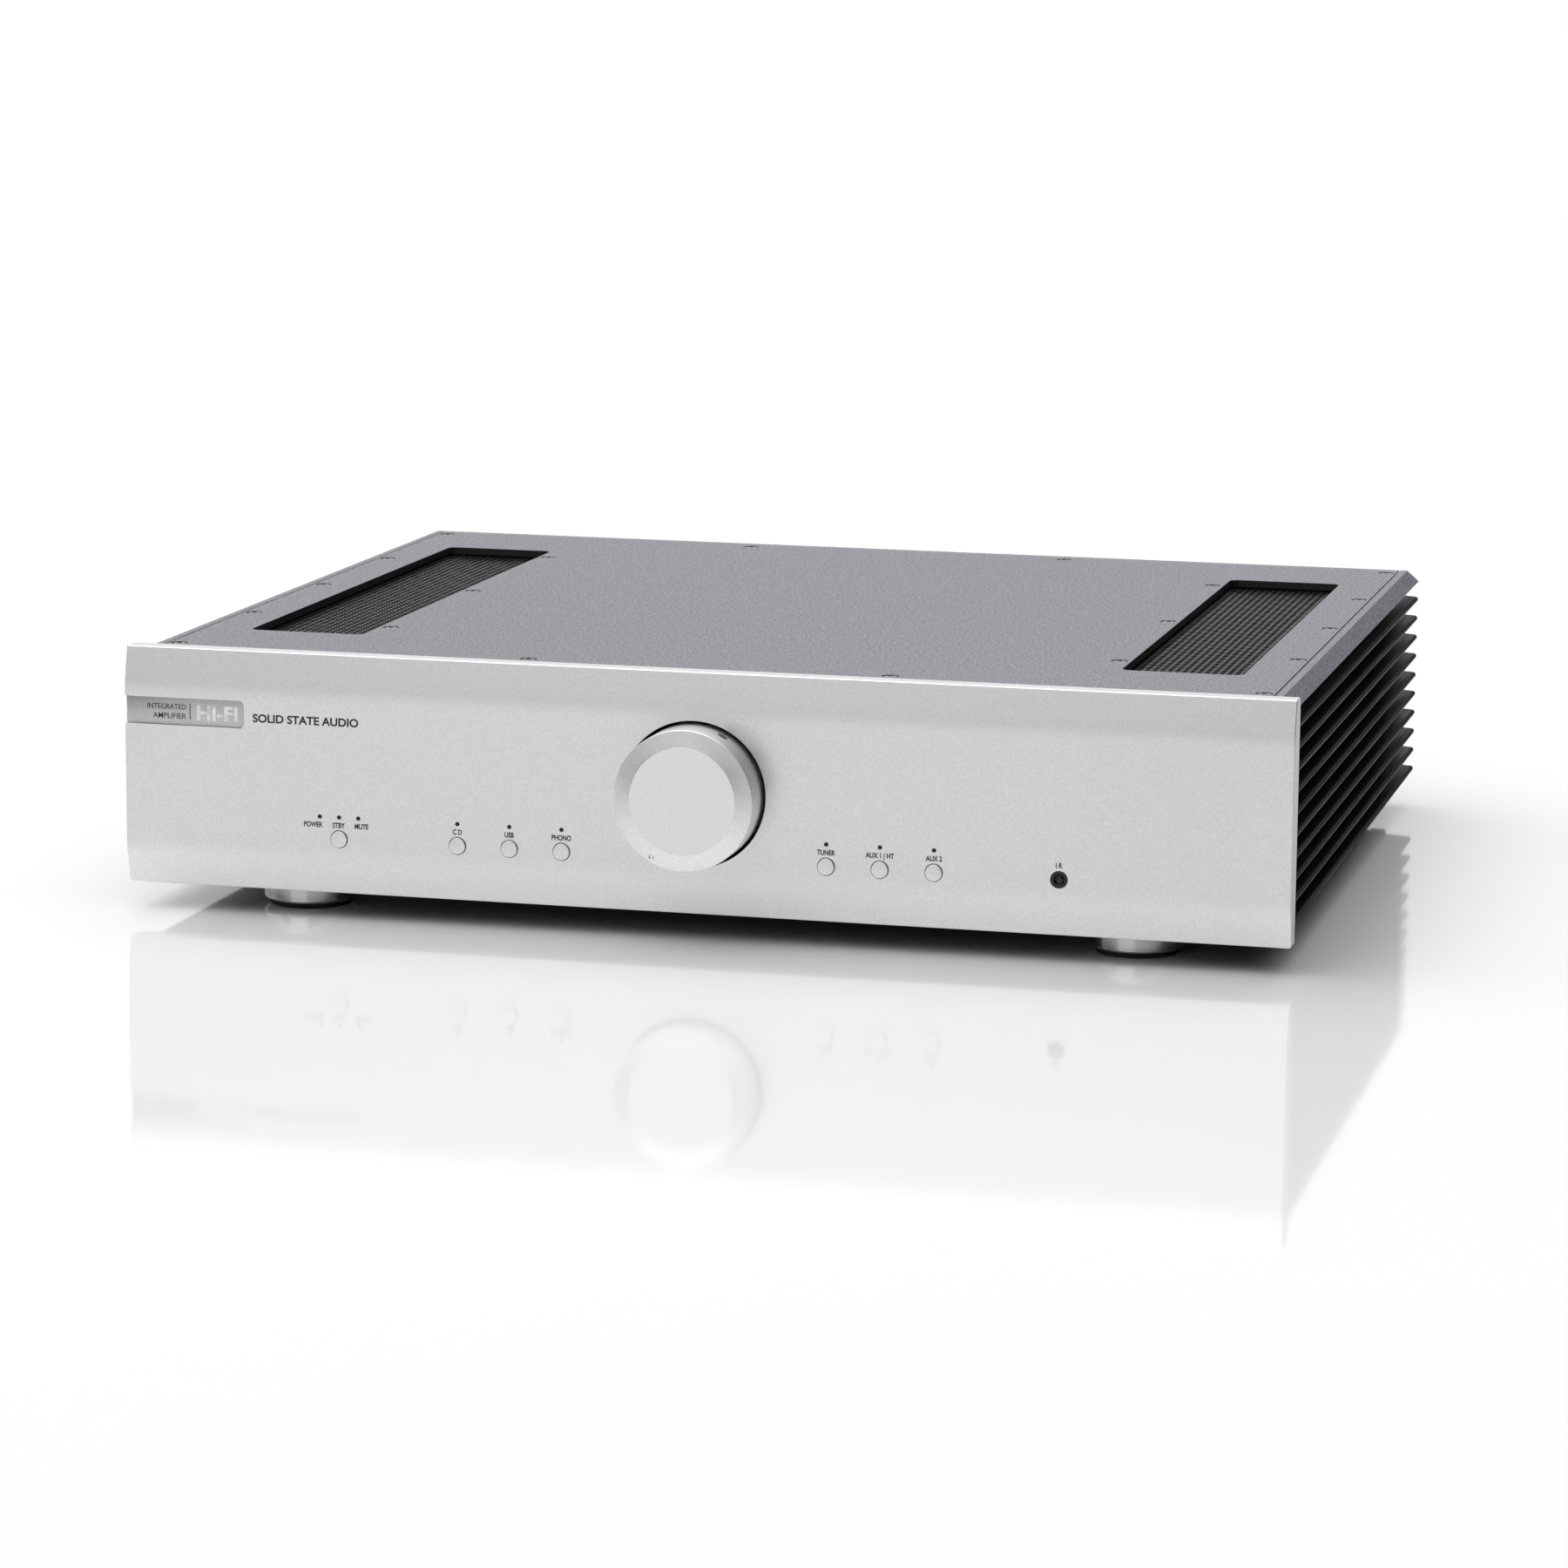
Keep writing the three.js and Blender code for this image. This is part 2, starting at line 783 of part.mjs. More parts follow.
function mainsInlet() {
  const bodyFront = 146;
  const body = box(inletX - 14, inletX + 14, bodyFront, inletFaceY, inletZ - 15.8, inletZ + 12);
  const flange = box(inletX - 25, inletX + 25, inletFlangeY, inletFaceY, inletZ - 17, inletZ + 14);
  const cavityDepthY = 159;
  const cavity = prismY(
    [
      [inletX - 12.1, inletZ - 6.3],
      [inletX + 12.1, inletZ - 6.3],
      [inletX + 12.1, inletZ + 5.8],
      [inletX + 7.6, inletZ + 10.3],
      [inletX - 7.6, inletZ + 10.3],
      [inletX - 12.1, inletZ + 5.8],
    ],
    cavityDepthY,
    inletFaceY + 1,
  );
  const drawerSlot = box(
    inletX - 11.6,
    inletX + 11.6,
    154,
    inletFaceY + 1,
    drawerLowZ - 0.3,
    drawerHighZ + 0.3,
  );
  const screwHoles = [-20, 20].map((dx) =>
    barY(1.7, inletFlangeY - 1, inletFaceY + 1, inletX + dx, inletZ, smallSides),
  );
  const blade = (x, z) => box(x - 1, x + 1, cavityDepthY - 1, inletFaceY - 2.5, z - 2, z + 2);
  return join(
    cut(join(body, flange), cavity, drawerSlot, ...screwHoles),
    blade(inletX - 7, inletZ),
    blade(inletX + 7, inletZ),
    blade(inletX, inletZ + 4),
  );
}

function fuseDrawer() {
  const faceEndY = inletFaceY + 1.4;
  const tray = box(
    inletX - 11.2,
    inletX + 11.2,
    154.5,
    faceEndY,
    drawerLowZ,
    drawerHighZ,
  );
  const trough = box(inletX - 10.6, inletX + 10.6, 157.5, 163.5, drawerLowZ + 0.7, drawerHighZ + 1);
  return cut(tray, trough);
}

function mainsFuse() {
  return barX(2.5, inletX - 10.2, inletX + 10.2, 160.5, drawerLowZ + 3.4);
}

const rockerPivotY = 171;
const rockerTilt = THREE.MathUtils.degToRad(10);
const rockerFlangeEndY = bodyRearY + 2;

function rockerHousing() {
  const body = box(rockerX - 11, rockerX + 11, 158, rockerFlangeEndY, rockerZ - 15, rockerZ + 15);
  const flange = box(
    rockerX - 13,
    rockerX + 13,
    bodyRearY + 0.2,
    rockerFlangeEndY,
    rockerZ - 17,
    rockerZ + 17,
  );
  const pit = box(
    rockerX - 7.2,
    rockerX + 7.2,
    rockerPivotY - 5,
    rockerFlangeEndY + 1,
    rockerZ - 12.7,
    rockerZ + 12.7,
  );
  const pinHole = barX(1.7, rockerX - 9.2, rockerX + 9.2, rockerPivotY, rockerZ, smallSides);
  return cut(join(body, flange), pit, pinHole);
}

// The rocker's section about its pivot, turned so that its upper half is pressed in.
function mainsRocker() {
  const section = [
    [8, -11],
    [6.2, 0],
    [8, 11],
    [2, 10.2],
    [-2.5, 0],
    [2, -10.2],
  ];
  const turned = section.map(([y, z]) => [
    rockerPivotY + y * Math.cos(rockerTilt) - z * Math.sin(rockerTilt),
    rockerZ + y * Math.sin(rockerTilt) + z * Math.cos(rockerTilt),
  ]);
  return join(
    prismX(turned, rockerX - 6.8, rockerX + 6.8),
    barX(1.5, rockerX - 8.9, rockerX + 8.9, rockerPivotY, rockerZ, smallSides),
  );
}

// An insulating plate with two hollow threaded stems.
function speakerTerminal(x) {
  const plateY = bodyRearY + 0.2;
  const plate = box(x - 22, x + 22, plateY, plateY + 3, speakerZ - 13, speakerZ + 13);
  const stems = postXs(x).map((px) =>
    join(
      barY(4.8, 170, plateY + 1, px, speakerZ, smallSides),
      barY(3.4, plateY, terminalEndY - 1.5, px, speakerZ),
    ),
  );
  const sockets = postXs(x).map((px) =>
    barY(2.05, terminalEndY - 20, terminalEndY, px, speakerZ, smallSides),
  );
  return cut(join(plate, ...stems), ...sockets);
}

// A round grip, open at both ends.
function bindingNut(x) {
  const y0 = bodyRearY + 8;
  const y1 = terminalEndY;
  const gripRadius = 7.4;
  const grip = turnedY(
    [
      [0, y0],
      [6.6, y0],
      [gripRadius, y0 + 0.8],
      [gripRadius, y1 - 1.6],
      [5.8, y1],
      [0, y1],
    ],
    x,
    speakerZ,
  );
  return cut(
    grip,
    barY(3.55, y0 - 1, terminalEndY - 1.2, x, speakerZ),
    barY(2.05, y0, y1 + 1, x, speakerZ, smallSides),
  );
}

function groundPost() {
  return join(
    barY(2, 166, 191, groundX, groundZ, smallSides),
    barY(5, bodyRearY + 0.2, bodyRearY + 1.4, groundX, groundZ),
    barY(4, 170, rearInnerY - 0.2, groundX, groundZ, tinySides),
  );
}

function groundNut() {
  const y0 = bodyRearY + 2;
  return cut(
    barY(5.5, y0, y0 + 8, groundX, groundZ),
    barY(2.3, y0 - 1, y0 + 9, groundX, groundZ, smallSides),
  );
}

// ---- assembly ----

add("front_panel", frontPanel(), silver);
add("badge_plate", badgePlate(), badgeGrey);
add("light_pipes_status", lightPipes(statusXs()), darkLens);
add("light_pipes_inputs_left", lightPipes(inputXs.slice(0, 3)), darkLens);
add("light_pipes_inputs_right", lightPipes(inputXs.slice(3)), darkLens);
add("receiver_window", receiverWindow(), darkLens);
add("standby_button", pushButton(standbyX), silver);
inputXs.forEach((x, i) => add(`input_button_${i + 1}`, pushButton(x), silver));
add("front_subchassis", subChassis(), blackSteel);
add("control_board", controlBoard(), boardGreen);

add("volume_knob", volumeKnob(), silver);
add("knob_grub_screw", grubBar(1.8, shaftRadius + 0.4, 8.4), polished);
add("volume_shaft", volumeShaft(), polished);
add("volume_pot", volumePot(), polished);

add("top_cover", topCover(), powderGrey);
add("vent_mesh_left", ventMesh(-ventX), blackSteel);
add("vent_mesh_right", ventMesh(ventX), blackSteel);
add("heatsink_left", heatsink(-1), finBlack);
add("heatsink_right", heatsink(1), finBlack);
add("base_tray", baseTray(), blackSteel);
add("rear_panel", rearPanel(), blackSteel);

for (const [place, y] of [["front", footFrontY], ["rear", footRearY]]) {
  for (const [hand, x] of [["left", -footX], ["right", footX]]) {
    add(`foot_${place}_${hand}`, foot(x, y), polished);
    add(`foot_pad_${place}_${hand}`, footPad(x, y), rubberBlack);
  }
}

add("transformer", transformer(), copperTape);
add("transformer_clamp", transformerClamp(), polished);
add("transformer_bolt", transformerBolt(), polished);
add("power_supply_board", powerSupplyBoard(), boardGreen);
add("capacitor_left", capacitor(-24), sleeveBlue);
add("capacitor_right", capacitor(24), sleeveBlue);
add("amp_board_left", ampBoard(-1), boardGreen);
add("amp_board_right", ampBoard(1), boardGreen);

add("input_board", inputBoard(), boardGreen);
socketXs.forEach((x, i) => add(`socket_block_${i + 1}`, socketBlock(x), gold));
add("data_socket", dataSocket(), polished);
add("ground_post", groundPost(), gold);
add("ground_nut", groundNut(), gold);
speakerXs.forEach((x, i) => {
  const hand = ["left", "right"][i];
  const [innerX, outerX] = postXs(x);
  add(`speaker_terminal_${hand}`, speakerTerminal(x), blackPlastic);
  add(`binding_nut_${hand}_black`, bindingNut(innerX), blackPlastic);
  add(`binding_nut_${hand}_red`, bindingNut(outerX), redPlastic);
});
add("mains_inlet", mainsInlet(), blackPlastic);
add("fuse_drawer", fuseDrawer(), blackPlastic);
add("mains_fuse", mainsFuse(), clearGlass);
add("rocker_housing", rockerHousing(), blackPlastic);
add("mains_rocker", mainsRocker(), blackPlastic);

export default amplifier;
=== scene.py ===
import json
import math

import bmesh
import bpy
from mathutils import Matrix, Vector


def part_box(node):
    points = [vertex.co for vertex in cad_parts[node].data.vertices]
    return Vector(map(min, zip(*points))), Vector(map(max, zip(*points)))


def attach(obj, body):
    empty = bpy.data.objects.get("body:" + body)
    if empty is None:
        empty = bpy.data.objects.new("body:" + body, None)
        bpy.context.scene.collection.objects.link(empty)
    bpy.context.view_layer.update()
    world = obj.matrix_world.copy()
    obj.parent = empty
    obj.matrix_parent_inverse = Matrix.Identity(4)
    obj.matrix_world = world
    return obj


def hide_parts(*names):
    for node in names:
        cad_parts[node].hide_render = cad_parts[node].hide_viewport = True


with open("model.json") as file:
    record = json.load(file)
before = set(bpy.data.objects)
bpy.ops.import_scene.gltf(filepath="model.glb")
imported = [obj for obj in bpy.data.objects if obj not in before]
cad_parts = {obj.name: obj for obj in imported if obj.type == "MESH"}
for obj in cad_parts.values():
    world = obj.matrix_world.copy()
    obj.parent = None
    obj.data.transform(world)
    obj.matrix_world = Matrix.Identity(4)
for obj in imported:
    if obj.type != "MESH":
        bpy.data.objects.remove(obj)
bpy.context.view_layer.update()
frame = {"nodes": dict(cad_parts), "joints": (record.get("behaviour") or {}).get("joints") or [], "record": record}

# Integrated amplifier with side heatsinks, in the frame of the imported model.
# Shapes are written in millimetres and scaled once, when a piece is made.
MM = 0.001
CHASSIS = "chassis"


def span(node):
    """Lowest and highest corner of a CAD node, in millimetres."""
    low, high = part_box(node)
    return low / MM, high / MM


def centre(node):
    low, high = span(node)
    return (low + high) / 2


# ---- shapes: lists of vertices and faces, in millimetres ----


def merged(*shapes):
    verts, faces = [], []
    for shape_verts, shape_faces in shapes:
        start = len(verts)
        verts += shape_verts
        faces += [tuple(start + i for i in face) for face in shape_faces]
    return verts, faces


def arc(cx, cy, radius, start, end, steps):
    """Points on an arc, from the start to the end angle in degrees."""
    points = []
    for i in range(steps + 1):
        angle = math.radians(start + (end - start) * i / steps)
        points.append((cx + radius * math.cos(angle), cy + radius * math.sin(angle)))
    return points


def turned(profile, axis, at, sides=64, ring=False):
    """A profile of (radius, along) points turned about a line along Y at (x, z), or along Z at (x, y)."""
    verts, faces, rows = [], [], []
    for radius, along in profile:
        row = []
        count = 1 if radius < 1e-6 else sides
        for i in range(count):
            angle = 2 * math.pi * i / sides
            a = at[0] + radius * math.cos(angle)
            b = at[1] + radius * math.sin(angle)
            row.append(len(verts))
            verts.append((a, along, b) if axis == "Y" else (a, b, along))
        rows.append(row)
    pairs = list(zip(rows, rows[1:]))
    if ring:
        pairs.append((rows[-1], rows[0]))
    for lower, upper in pairs:
        for i in range(sides):
            j = (i + 1) % sides
            if len(lower) == 1 and len(upper) == 1:
                break
            if len(lower) == 1:
                faces.append((lower[0], upper[j], upper[i]))
            elif len(upper) == 1:
                faces.append((lower[i], lower[j], upper[0]))
            else:
                faces.append((lower[i], lower[j], upper[j], upper[i]))
    return verts, faces


def prism(outline, axis, start, end):
    """An outline carried along an axis: (y, z) points along X, (x, z) along Y, or (x, y) along Z."""
    place = {
        "X": lambda a, b, t: (t, a, b),
        "Y": lambda a, b, t: (a, t, b),
        "Z": lambda a, b, t: (a, b, t),
    }[axis]
    count = len(outline)
    verts = [place(a, b, t) for t in (start, end) for a, b in outline]
    faces = [tuple(range(count)), tuple(reversed(range(count, 2 * count)))]
    for i in range(count):
        j = (i + 1) % count
        faces.append((i, i + count, j + count, j))
    return verts, faces


def block(x0, x1, y0, y1, z0, z1):
    return prism([(x0, y0), (x1, y0), (x1, y1), (x0, y1)], "Z", z0, z1)


def rounded(x0, x1, y0, y1, radius, steps=8):
    """Outline of a rectangle with round corners; radius is one number or four, from the low corner on."""
    radii = radius if isinstance(radius, tuple) else (radius,) * 4
    corners = [
        (x0, y0, 1, 1, 180),
        (x1, y0, -1, 1, 270),
        (x1, y1, -1, -1, 0),
        (x0, y1, 1, -1, 90),
    ]
    points = []
    for (x, y, sx, sy, start), r in zip(corners, radii):
        if r == 0:
            points.append((x, y))
        else:
            points += arc(x + sx * r, y + sy * r, r, start, start + 90, steps)
    return points


def rod(radius, axis, at, start, end, sides=48):
    return turned([(0, start), (radius, start), (radius, end), (0, end)], axis, at, sides)


def mirrored_x(shape):
    verts, faces = shape
    return [(-x, y, z) for x, y, z in verts], faces


# ---- pieces ----


def raw_object(name, shape):
    verts, faces = shape
    mesh = bpy.data.meshes.new(name)
    mesh.from_pydata([Vector(v) * MM for v in verts], [], faces)
    edit = bmesh.new()
    edit.from_mesh(mesh)
    bmesh.ops.recalc_face_normals(edit, faces=edit.faces)
    edit.to_mesh(mesh)
    edit.free()
    piece = bpy.data.objects.new(name, mesh)
    bpy.context.scene.collection.objects.link(piece)
    return piece


def apply_modifiers(piece):
    graph = bpy.context.evaluated_depsgraph_get()
    mesh = bpy.data.meshes.new_from_object(piece.evaluated_get(graph))
    piece.modifiers.clear()
    old = piece.data
    piece.data = mesh
    bpy.data.meshes.remove(old)


def combine(piece, shape, operation):
    """Cuts a shape from a piece, joins it on, or keeps what they share."""
    tool = raw_object("tool", shape)
    modifier = piece.modifiers.new("cut", "BOOLEAN")
    modifier.operation = operation
    modifier.solver = "EXACT"
    modifier.object = tool
    apply_modifiers(piece)
    bpy.data.meshes.remove(tool.data)


def soften(piece, width, segments=2, above=50):
    """Rounds the edges that turn by more than an angle in degrees."""
    modifier = piece.modifiers.new("edge", "BEVEL")
    modifier.width = width * MM
    modifier.segments = segments
    modifier.limit_method = "ANGLE"
    modifier.angle_limit = math.radians(above)
    modifier.use_clamp_overlap = False
    apply_modifiers(piece)


def shade(piece, smooth_below):
    piece.data.shade_smooth()
    piece.data.set_sharp_from_angle(angle=math.radians(smooth_below))


def finished(piece, material, body=CHASSIS, replaces=(), smooth_below=35):
    shade(piece, smooth_below)
    piece.data.materials.clear()
    piece.data.materials.append(material)
    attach(piece, body)
    if replaces:
        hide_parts(*replaces)
    return piece


def make(name, shape, material, body=CHASSIS, replaces=(), edge=0, smooth_below=35):
    piece = raw_object(name, shape)
    if edge:
        soften(piece, edge)
    return finished(piece, material, body, replaces, smooth_below)


# ---- materials ----


class Nodes:
    """A material's node tree, with its Principled shader and its object coordinates."""

    def __init__(self, name, color, roughness, metallic=0.0, **sockets):
        self.material = bpy.data.materials.new(name)
        self.material.use_nodes = True
        self.tree = self.material.node_tree
        self.shader = self.tree.nodes["Principled BSDF"]
        self.shader.inputs["Base Color"].default_value = (*color, 1)
        self.shader.inputs["Roughness"].default_value = roughness
        self.shader.inputs["Metallic"].default_value = metallic
        for socket, value in sockets.items():
            self.shader.inputs[socket.replace("_", " ")].default_value = value
        self.place = self.tree.nodes.new("ShaderNodeTexCoord").outputs["Object"]

    def new(self, kind, **values):
        node = self.tree.nodes.new(kind)
        for key, value in values.items():
            if key in node.inputs:
                node.inputs[key].default_value = value
            else:
                setattr(node, key, value)
        return node

    def link(self, source, target):
        self.tree.links.new(source, target)

    def stretched(self, scale):
        node = self.new("ShaderNodeMapping")
        node.inputs["Scale"].default_value = scale
        self.link(self.place, node.inputs["Vector"])
        return node.outputs["Vector"]

    def noise(self, scale, detail=3.0, place=None, sharpness=0.5):
        node = self.new("ShaderNodeTexNoise", Scale=scale, Detail=detail, Roughness=sharpness)
        self.link(place or self.place, node.inputs["Vector"])
        return node.outputs["Fac"]

    def spread(self, value, low, high, from_low=0.3, from_high=0.7):
        """Maps a texture's values to a range."""
        node = self.new("ShaderNodeMapRange")
        node.inputs["From Min"].default_value = from_low
        node.inputs["From Max"].default_value = from_high
        node.inputs["To Min"].default_value = low
        node.inputs["To Max"].default_value = high
        self.link(value, node.inputs["Value"])
        return node.outputs["Result"]

    def tint(self, value, dark, light, from_low=0.3, from_high=0.7):
        """Colours the surface between two colours by a texture."""
        ramp = self.new("ShaderNodeValToRGB")
        ramp.color_ramp.elements[0].position = from_low
        ramp.color_ramp.elements[1].position = from_high
        ramp.color_ramp.elements[0].color = (*dark, 1)
        ramp.color_ramp.elements[1].color = (*light, 1)
        self.link(value, ramp.inputs["Fac"])
        self.link(ramp.outputs["Color"], self.shader.inputs["Base Color"])

    def rough(self, value, low, high):
        self.link(self.spread(value, low, high), self.shader.inputs["Roughness"])

    def bump(self, value, height, strength=1.0):
        """Raises the surface by a texture; height is in millimetres."""
        node = self.new("ShaderNodeBump", Strength=strength, Distance=height * MM)
        self.link(value, node.inputs["Height"])
        self.link(node.outputs["Normal"], self.shader.inputs["Normal"])


def grey(level, cool=0.0):
    return (level, level, level + cool)


def metal(name, color, roughness, grain=2600.0, height=0.012, spread=0.05):
    """Cast, blasted or plated metal with a fine grain."""
    nodes = Nodes(name, color, roughness, 1.0)
    fine = nodes.noise(grain, 2.0)
    dark = tuple(c * 0.94 for c in color)
    light = tuple(min(1.0, c * 1.05) for c in color)
    nodes.tint(nodes.noise(grain * 0.45, 3.0), dark, light)
    nodes.rough(fine, roughness - spread, roughness + spread)
    nodes.bump(fine, height)
    return nodes.material


def drawn_metal(name, color, roughness, direction, height=0.01, spread=0.08, metallic=1.0, ior=1.5):
    """Extruded or turned metal whose fine lines run along one direction, bare or (metallic 0) anodised."""
    nodes = Nodes(name, color, roughness, metallic, IOR=ior)
    lines = nodes.noise(1.0, 3.0, nodes.stretched(direction))
    dark = tuple(c * 0.85 for c in color)
    light = tuple(min(1.0, c * 1.1) for c in color)
    nodes.tint(lines, dark, light)
    nodes.rough(lines, roughness - spread, roughness + spread)
    nodes.bump(lines, height)
    return nodes.material


def plastic(name, color, roughness, grain=1800.0, height=0.01, ior=1.5):
    """Moulded plastic or rubber with a fine texture."""
    nodes = Nodes(name, color, roughness, IOR=ior)
    fine = nodes.noise(grain, 3.0)
    dark = tuple(c * 0.8 for c in color)
    light = tuple(c * 1.25 for c in color)
    nodes.tint(nodes.noise(300.0, 3.0), dark, light)
    nodes.rough(fine, roughness - 0.06, roughness + 0.06)
    nodes.bump(fine, height)
    return nodes.material


def powder_coat(name, dark, light, roughness):
    """Textured powder coat: a mottled, slightly violet grey with a fine orange peel."""
    nodes = Nodes(name, light, roughness, IOR=1.7)
    speckle = nodes.noise(1150.0, 2.0, sharpness=0.6)
    peel = nodes.noise(900.0, 2.0)
    nodes.tint(speckle, dark, light, 0.4, 0.6)
    nodes.rough(peel, roughness - 0.08, roughness + 0.08)
    nodes.bump(peel, 0.09)
    return nodes.material


def circuit_board(name):
    """Solder mask over a faint net of tracks."""
    nodes = Nodes(name, (0.02, 0.11, 0.04), 0.35)
    tracks = nodes.new("ShaderNodeTexVoronoi", Scale=220.0, feature="DISTANCE_TO_EDGE")
    nodes.link(nodes.place, tracks.inputs["Vector"])
    nodes.tint(tracks.outputs["Distance"], (0.03, 0.16, 0.06), (0.015, 0.075, 0.03), 0.02, 0.12)
    nodes.bump(tracks.outputs["Distance"], 0.04)
    return nodes.material


def winding_tape(name):
    """Polyester tape in overlapping turns."""
    nodes = Nodes(name, (0.45, 0.26, 0.06), 0.35)
    turns = nodes.new("ShaderNodeTexWave", Scale=55.0, Distortion=1.5, Detail=2.0)
    nodes.link(nodes.place, turns.inputs["Vector"])
    nodes.tint(turns.outputs["Fac"], (0.30, 0.16, 0.035), (0.52, 0.31, 0.08))
    nodes.bump(turns.outputs["Fac"], 0.25)
    return nodes.material


def glass(name):
    nodes = Nodes(name, (0.86, 0.9, 0.9), 0.08, IOR=1.5)
    haze = nodes.noise(700.0, 2.0)
    nodes.tint(haze, (0.78, 0.83, 0.83), (0.9, 0.93, 0.93))
    nodes.rough(haze, 0.05, 0.14)
    return nodes.material


SILVER = metal("silver_blasted", grey(0.82, cool=0.01), 0.42)
KNOB_SILVER = metal("silver_knob", grey(0.84, cool=0.006), 0.36)
BADGE = metal("badge_grey", grey(0.60, cool=0.02), 0.46)
COVER = powder_coat("powder_grey", (0.062, 0.06, 0.075), (0.285, 0.278, 0.335), 0.42)
FIN = drawn_metal(
    "fin_black", grey(0.006, cool=0.001), 0.42, (1500.0, 12.0, 1500.0), metallic=0.0, ior=1.16,
)
# Black steel for the rear panel and the black steel parts; the cover's window walls also get it, as painted shade.
STEEL_BLACK_AND_SHADE = plastic("steel_black_and_painted_shade", grey(0.012), 0.5, 1400.0, 0.02)
# Matt near-black: black steel under the unit, darkened further as painted shade there; also painted shade on the
# grub screw and the grille's hole walls.
MATT_BLACK_AND_SHADE = plastic("matt_black_and_painted_shade", grey(0.004), 0.9, 1400.0, 0.02, 1.15)
PLASTIC_BLACK = plastic("plastic_black", grey(0.012), 0.42)
PLASTIC_RED = plastic("plastic_red", (0.42, 0.012, 0.012), 0.35)
PLASTIC_WHITE = plastic("plastic_white", (0.68, 0.67, 0.64), 0.4)
LENS = plastic("lens_dark", grey(0.006), 0.12, 500.0, 0.002)
FOOT = drawn_metal("foot_turned", grey(0.62), 0.2, (40.0, 40.0, 2500.0), 0.006, 0.05)
RUBBER = plastic("rubber", grey(0.02), 0.85, 1200.0, 0.05)
STEEL = metal("steel_plated", grey(0.5), 0.28, 1500.0, 0.008)
SCREW = metal("screw_dark", grey(0.4, cool=0.015), 0.3, 1800.0, 0.006)
MESH = metal("mesh_steel", grey(0.12), 0.3, 1500.0, 0.01)
GOLD = metal("gold_plated", (0.83, 0.56, 0.20), 0.24, 1500.0, 0.005)
TAPE = winding_tape("winding_tape")
BOARD = circuit_board("circuit_board")
SLEEVE = plastic("capacitor_sleeve", (0.015, 0.025, 0.07), 0.3)
GLASS = glass("fuse_glass")
INK_DARK = plastic("ink_dark", grey(0.02), 0.6, 3000.0, 0.002)
INK_LIGHT = plastic("ink_light", grey(0.85), 0.6, 3000.0, 0.002)

SLOT_FINISH = {
    "panel_silver": SILVER,
    "badge_grey": BADGE,
    "cover_powder": COVER,
    "fin_black": FIN,
    "black_steel": STEEL_BLACK_AND_SHADE,
    "black_plastic": PLASTIC_BLACK,
    "red_plastic": PLASTIC_RED,
    "dark_lens": LENS,
    "foot_metal": FOOT,
    "foot_rubber": RUBBER,
    "steel_parts": STEEL,
    "winding": TAPE,
    "board": BOARD,
    "capacitor_sleeve": SLEEVE,
    "contact_gold": GOLD,
    "fuse_glass": GLASS,
}
# Finishes that override the slot, partly painted shade: the base tray and sub-chassis are black steel darkened
# further as painted shade under the unit, and the grub screw is painted dark as painted shade in its hole.
NODE_FINISH_AND_SHADE = {
    "base_tray": MATT_BLACK_AND_SHADE,
    "front_subchassis": MATT_BLACK_AND_SHADE,
    "knob_grub_screw": MATT_BLACK_AND_SHADE,
}


def finish_cad_nodes():
    """Gives each CAD node that stays in view the finish of its slot, or its own near-black one, which is partly
    painted shade.
    """
    slots = {part["node"]: part["material_slot"] for part in frame["record"]["subparts"]}
    for name, node in frame["nodes"].items():
        material = SLOT_FINISH[slots[name]]
        for slot in node.material_slots:
            slot.material = NODE_FINISH_AND_SHADE.get(name, material)


# ---- lettering ----

CAPITAL_HEIGHT = 0.73  # of the built-in font, at size 1
CAPITAL_THICKNESS = 0.02
INK_DEPTH = 0.06


def letter_shape(text, height, squeeze, weight):
    """Solid letters of a height in millimetres, flat in XY, from their left end and base line."""
    curve = bpy.data.curves.new("letters", "FONT")
    curve.body = text
    curve.extrude = CAPITAL_THICKNESS
    curve.offset = weight
    curve.resolution_u = 4
    writing = bpy.data.objects.new("letters", curve)
    bpy.context.scene.collection.objects.link(writing)
    bpy.context.view_layer.update()
    graph = bpy.context.evaluated_depsgraph_get()
    mesh = bpy.data.meshes.new_from_object(writing.evaluated_get(graph))
    bpy.data.objects.remove(writing)
    bpy.data.curves.remove(curve)
    edit = bmesh.new()
    edit.from_mesh(mesh)
    bmesh.ops.remove_doubles(edit, verts=edit.verts, dist=1e-5)
    left = min(v.co.x for v in edit.verts)
    scale = height / CAPITAL_HEIGHT
    verts = [((v.co.x - left) * scale * squeeze, v.co.y * scale, v.co.z) for v in edit.verts]
    faces = [tuple(v.index for v in face.verts) for face in edit.faces]
    edit.free()
    bpy.data.meshes.remove(mesh)
    return verts, faces


def written(text, x, z, height, y, align="centre", squeeze=0.8, facing=-1, weight=0.02, width=None):
    """Letters on an upright face at y; z is the middle of the capitals, facing is -1 to the front."""
    verts, faces = letter_shape(text, height, squeeze, weight)
    if width:
        fit = width / max(v[0] for v in verts)
        verts = [(a * fit, b, c) for a, b, c in verts]
    width = max(v[0] for v in verts)
    start = {"left": 0, "centre": -width / 2, "right": -width}[align]
    depth = max(v[2] for v in verts)
    placed = []
    for a, b, c in verts:
        across = (a + start) * -facing
        placed.append((x + across, y + facing * c / depth * INK_DEPTH / 2, z + b - height / 2))
    return placed, faces


def lettering(name, shapes, material, body=CHASSIS):
    return make(name, merged(*shapes), material, body, smooth_below=20)


# ---- front ----

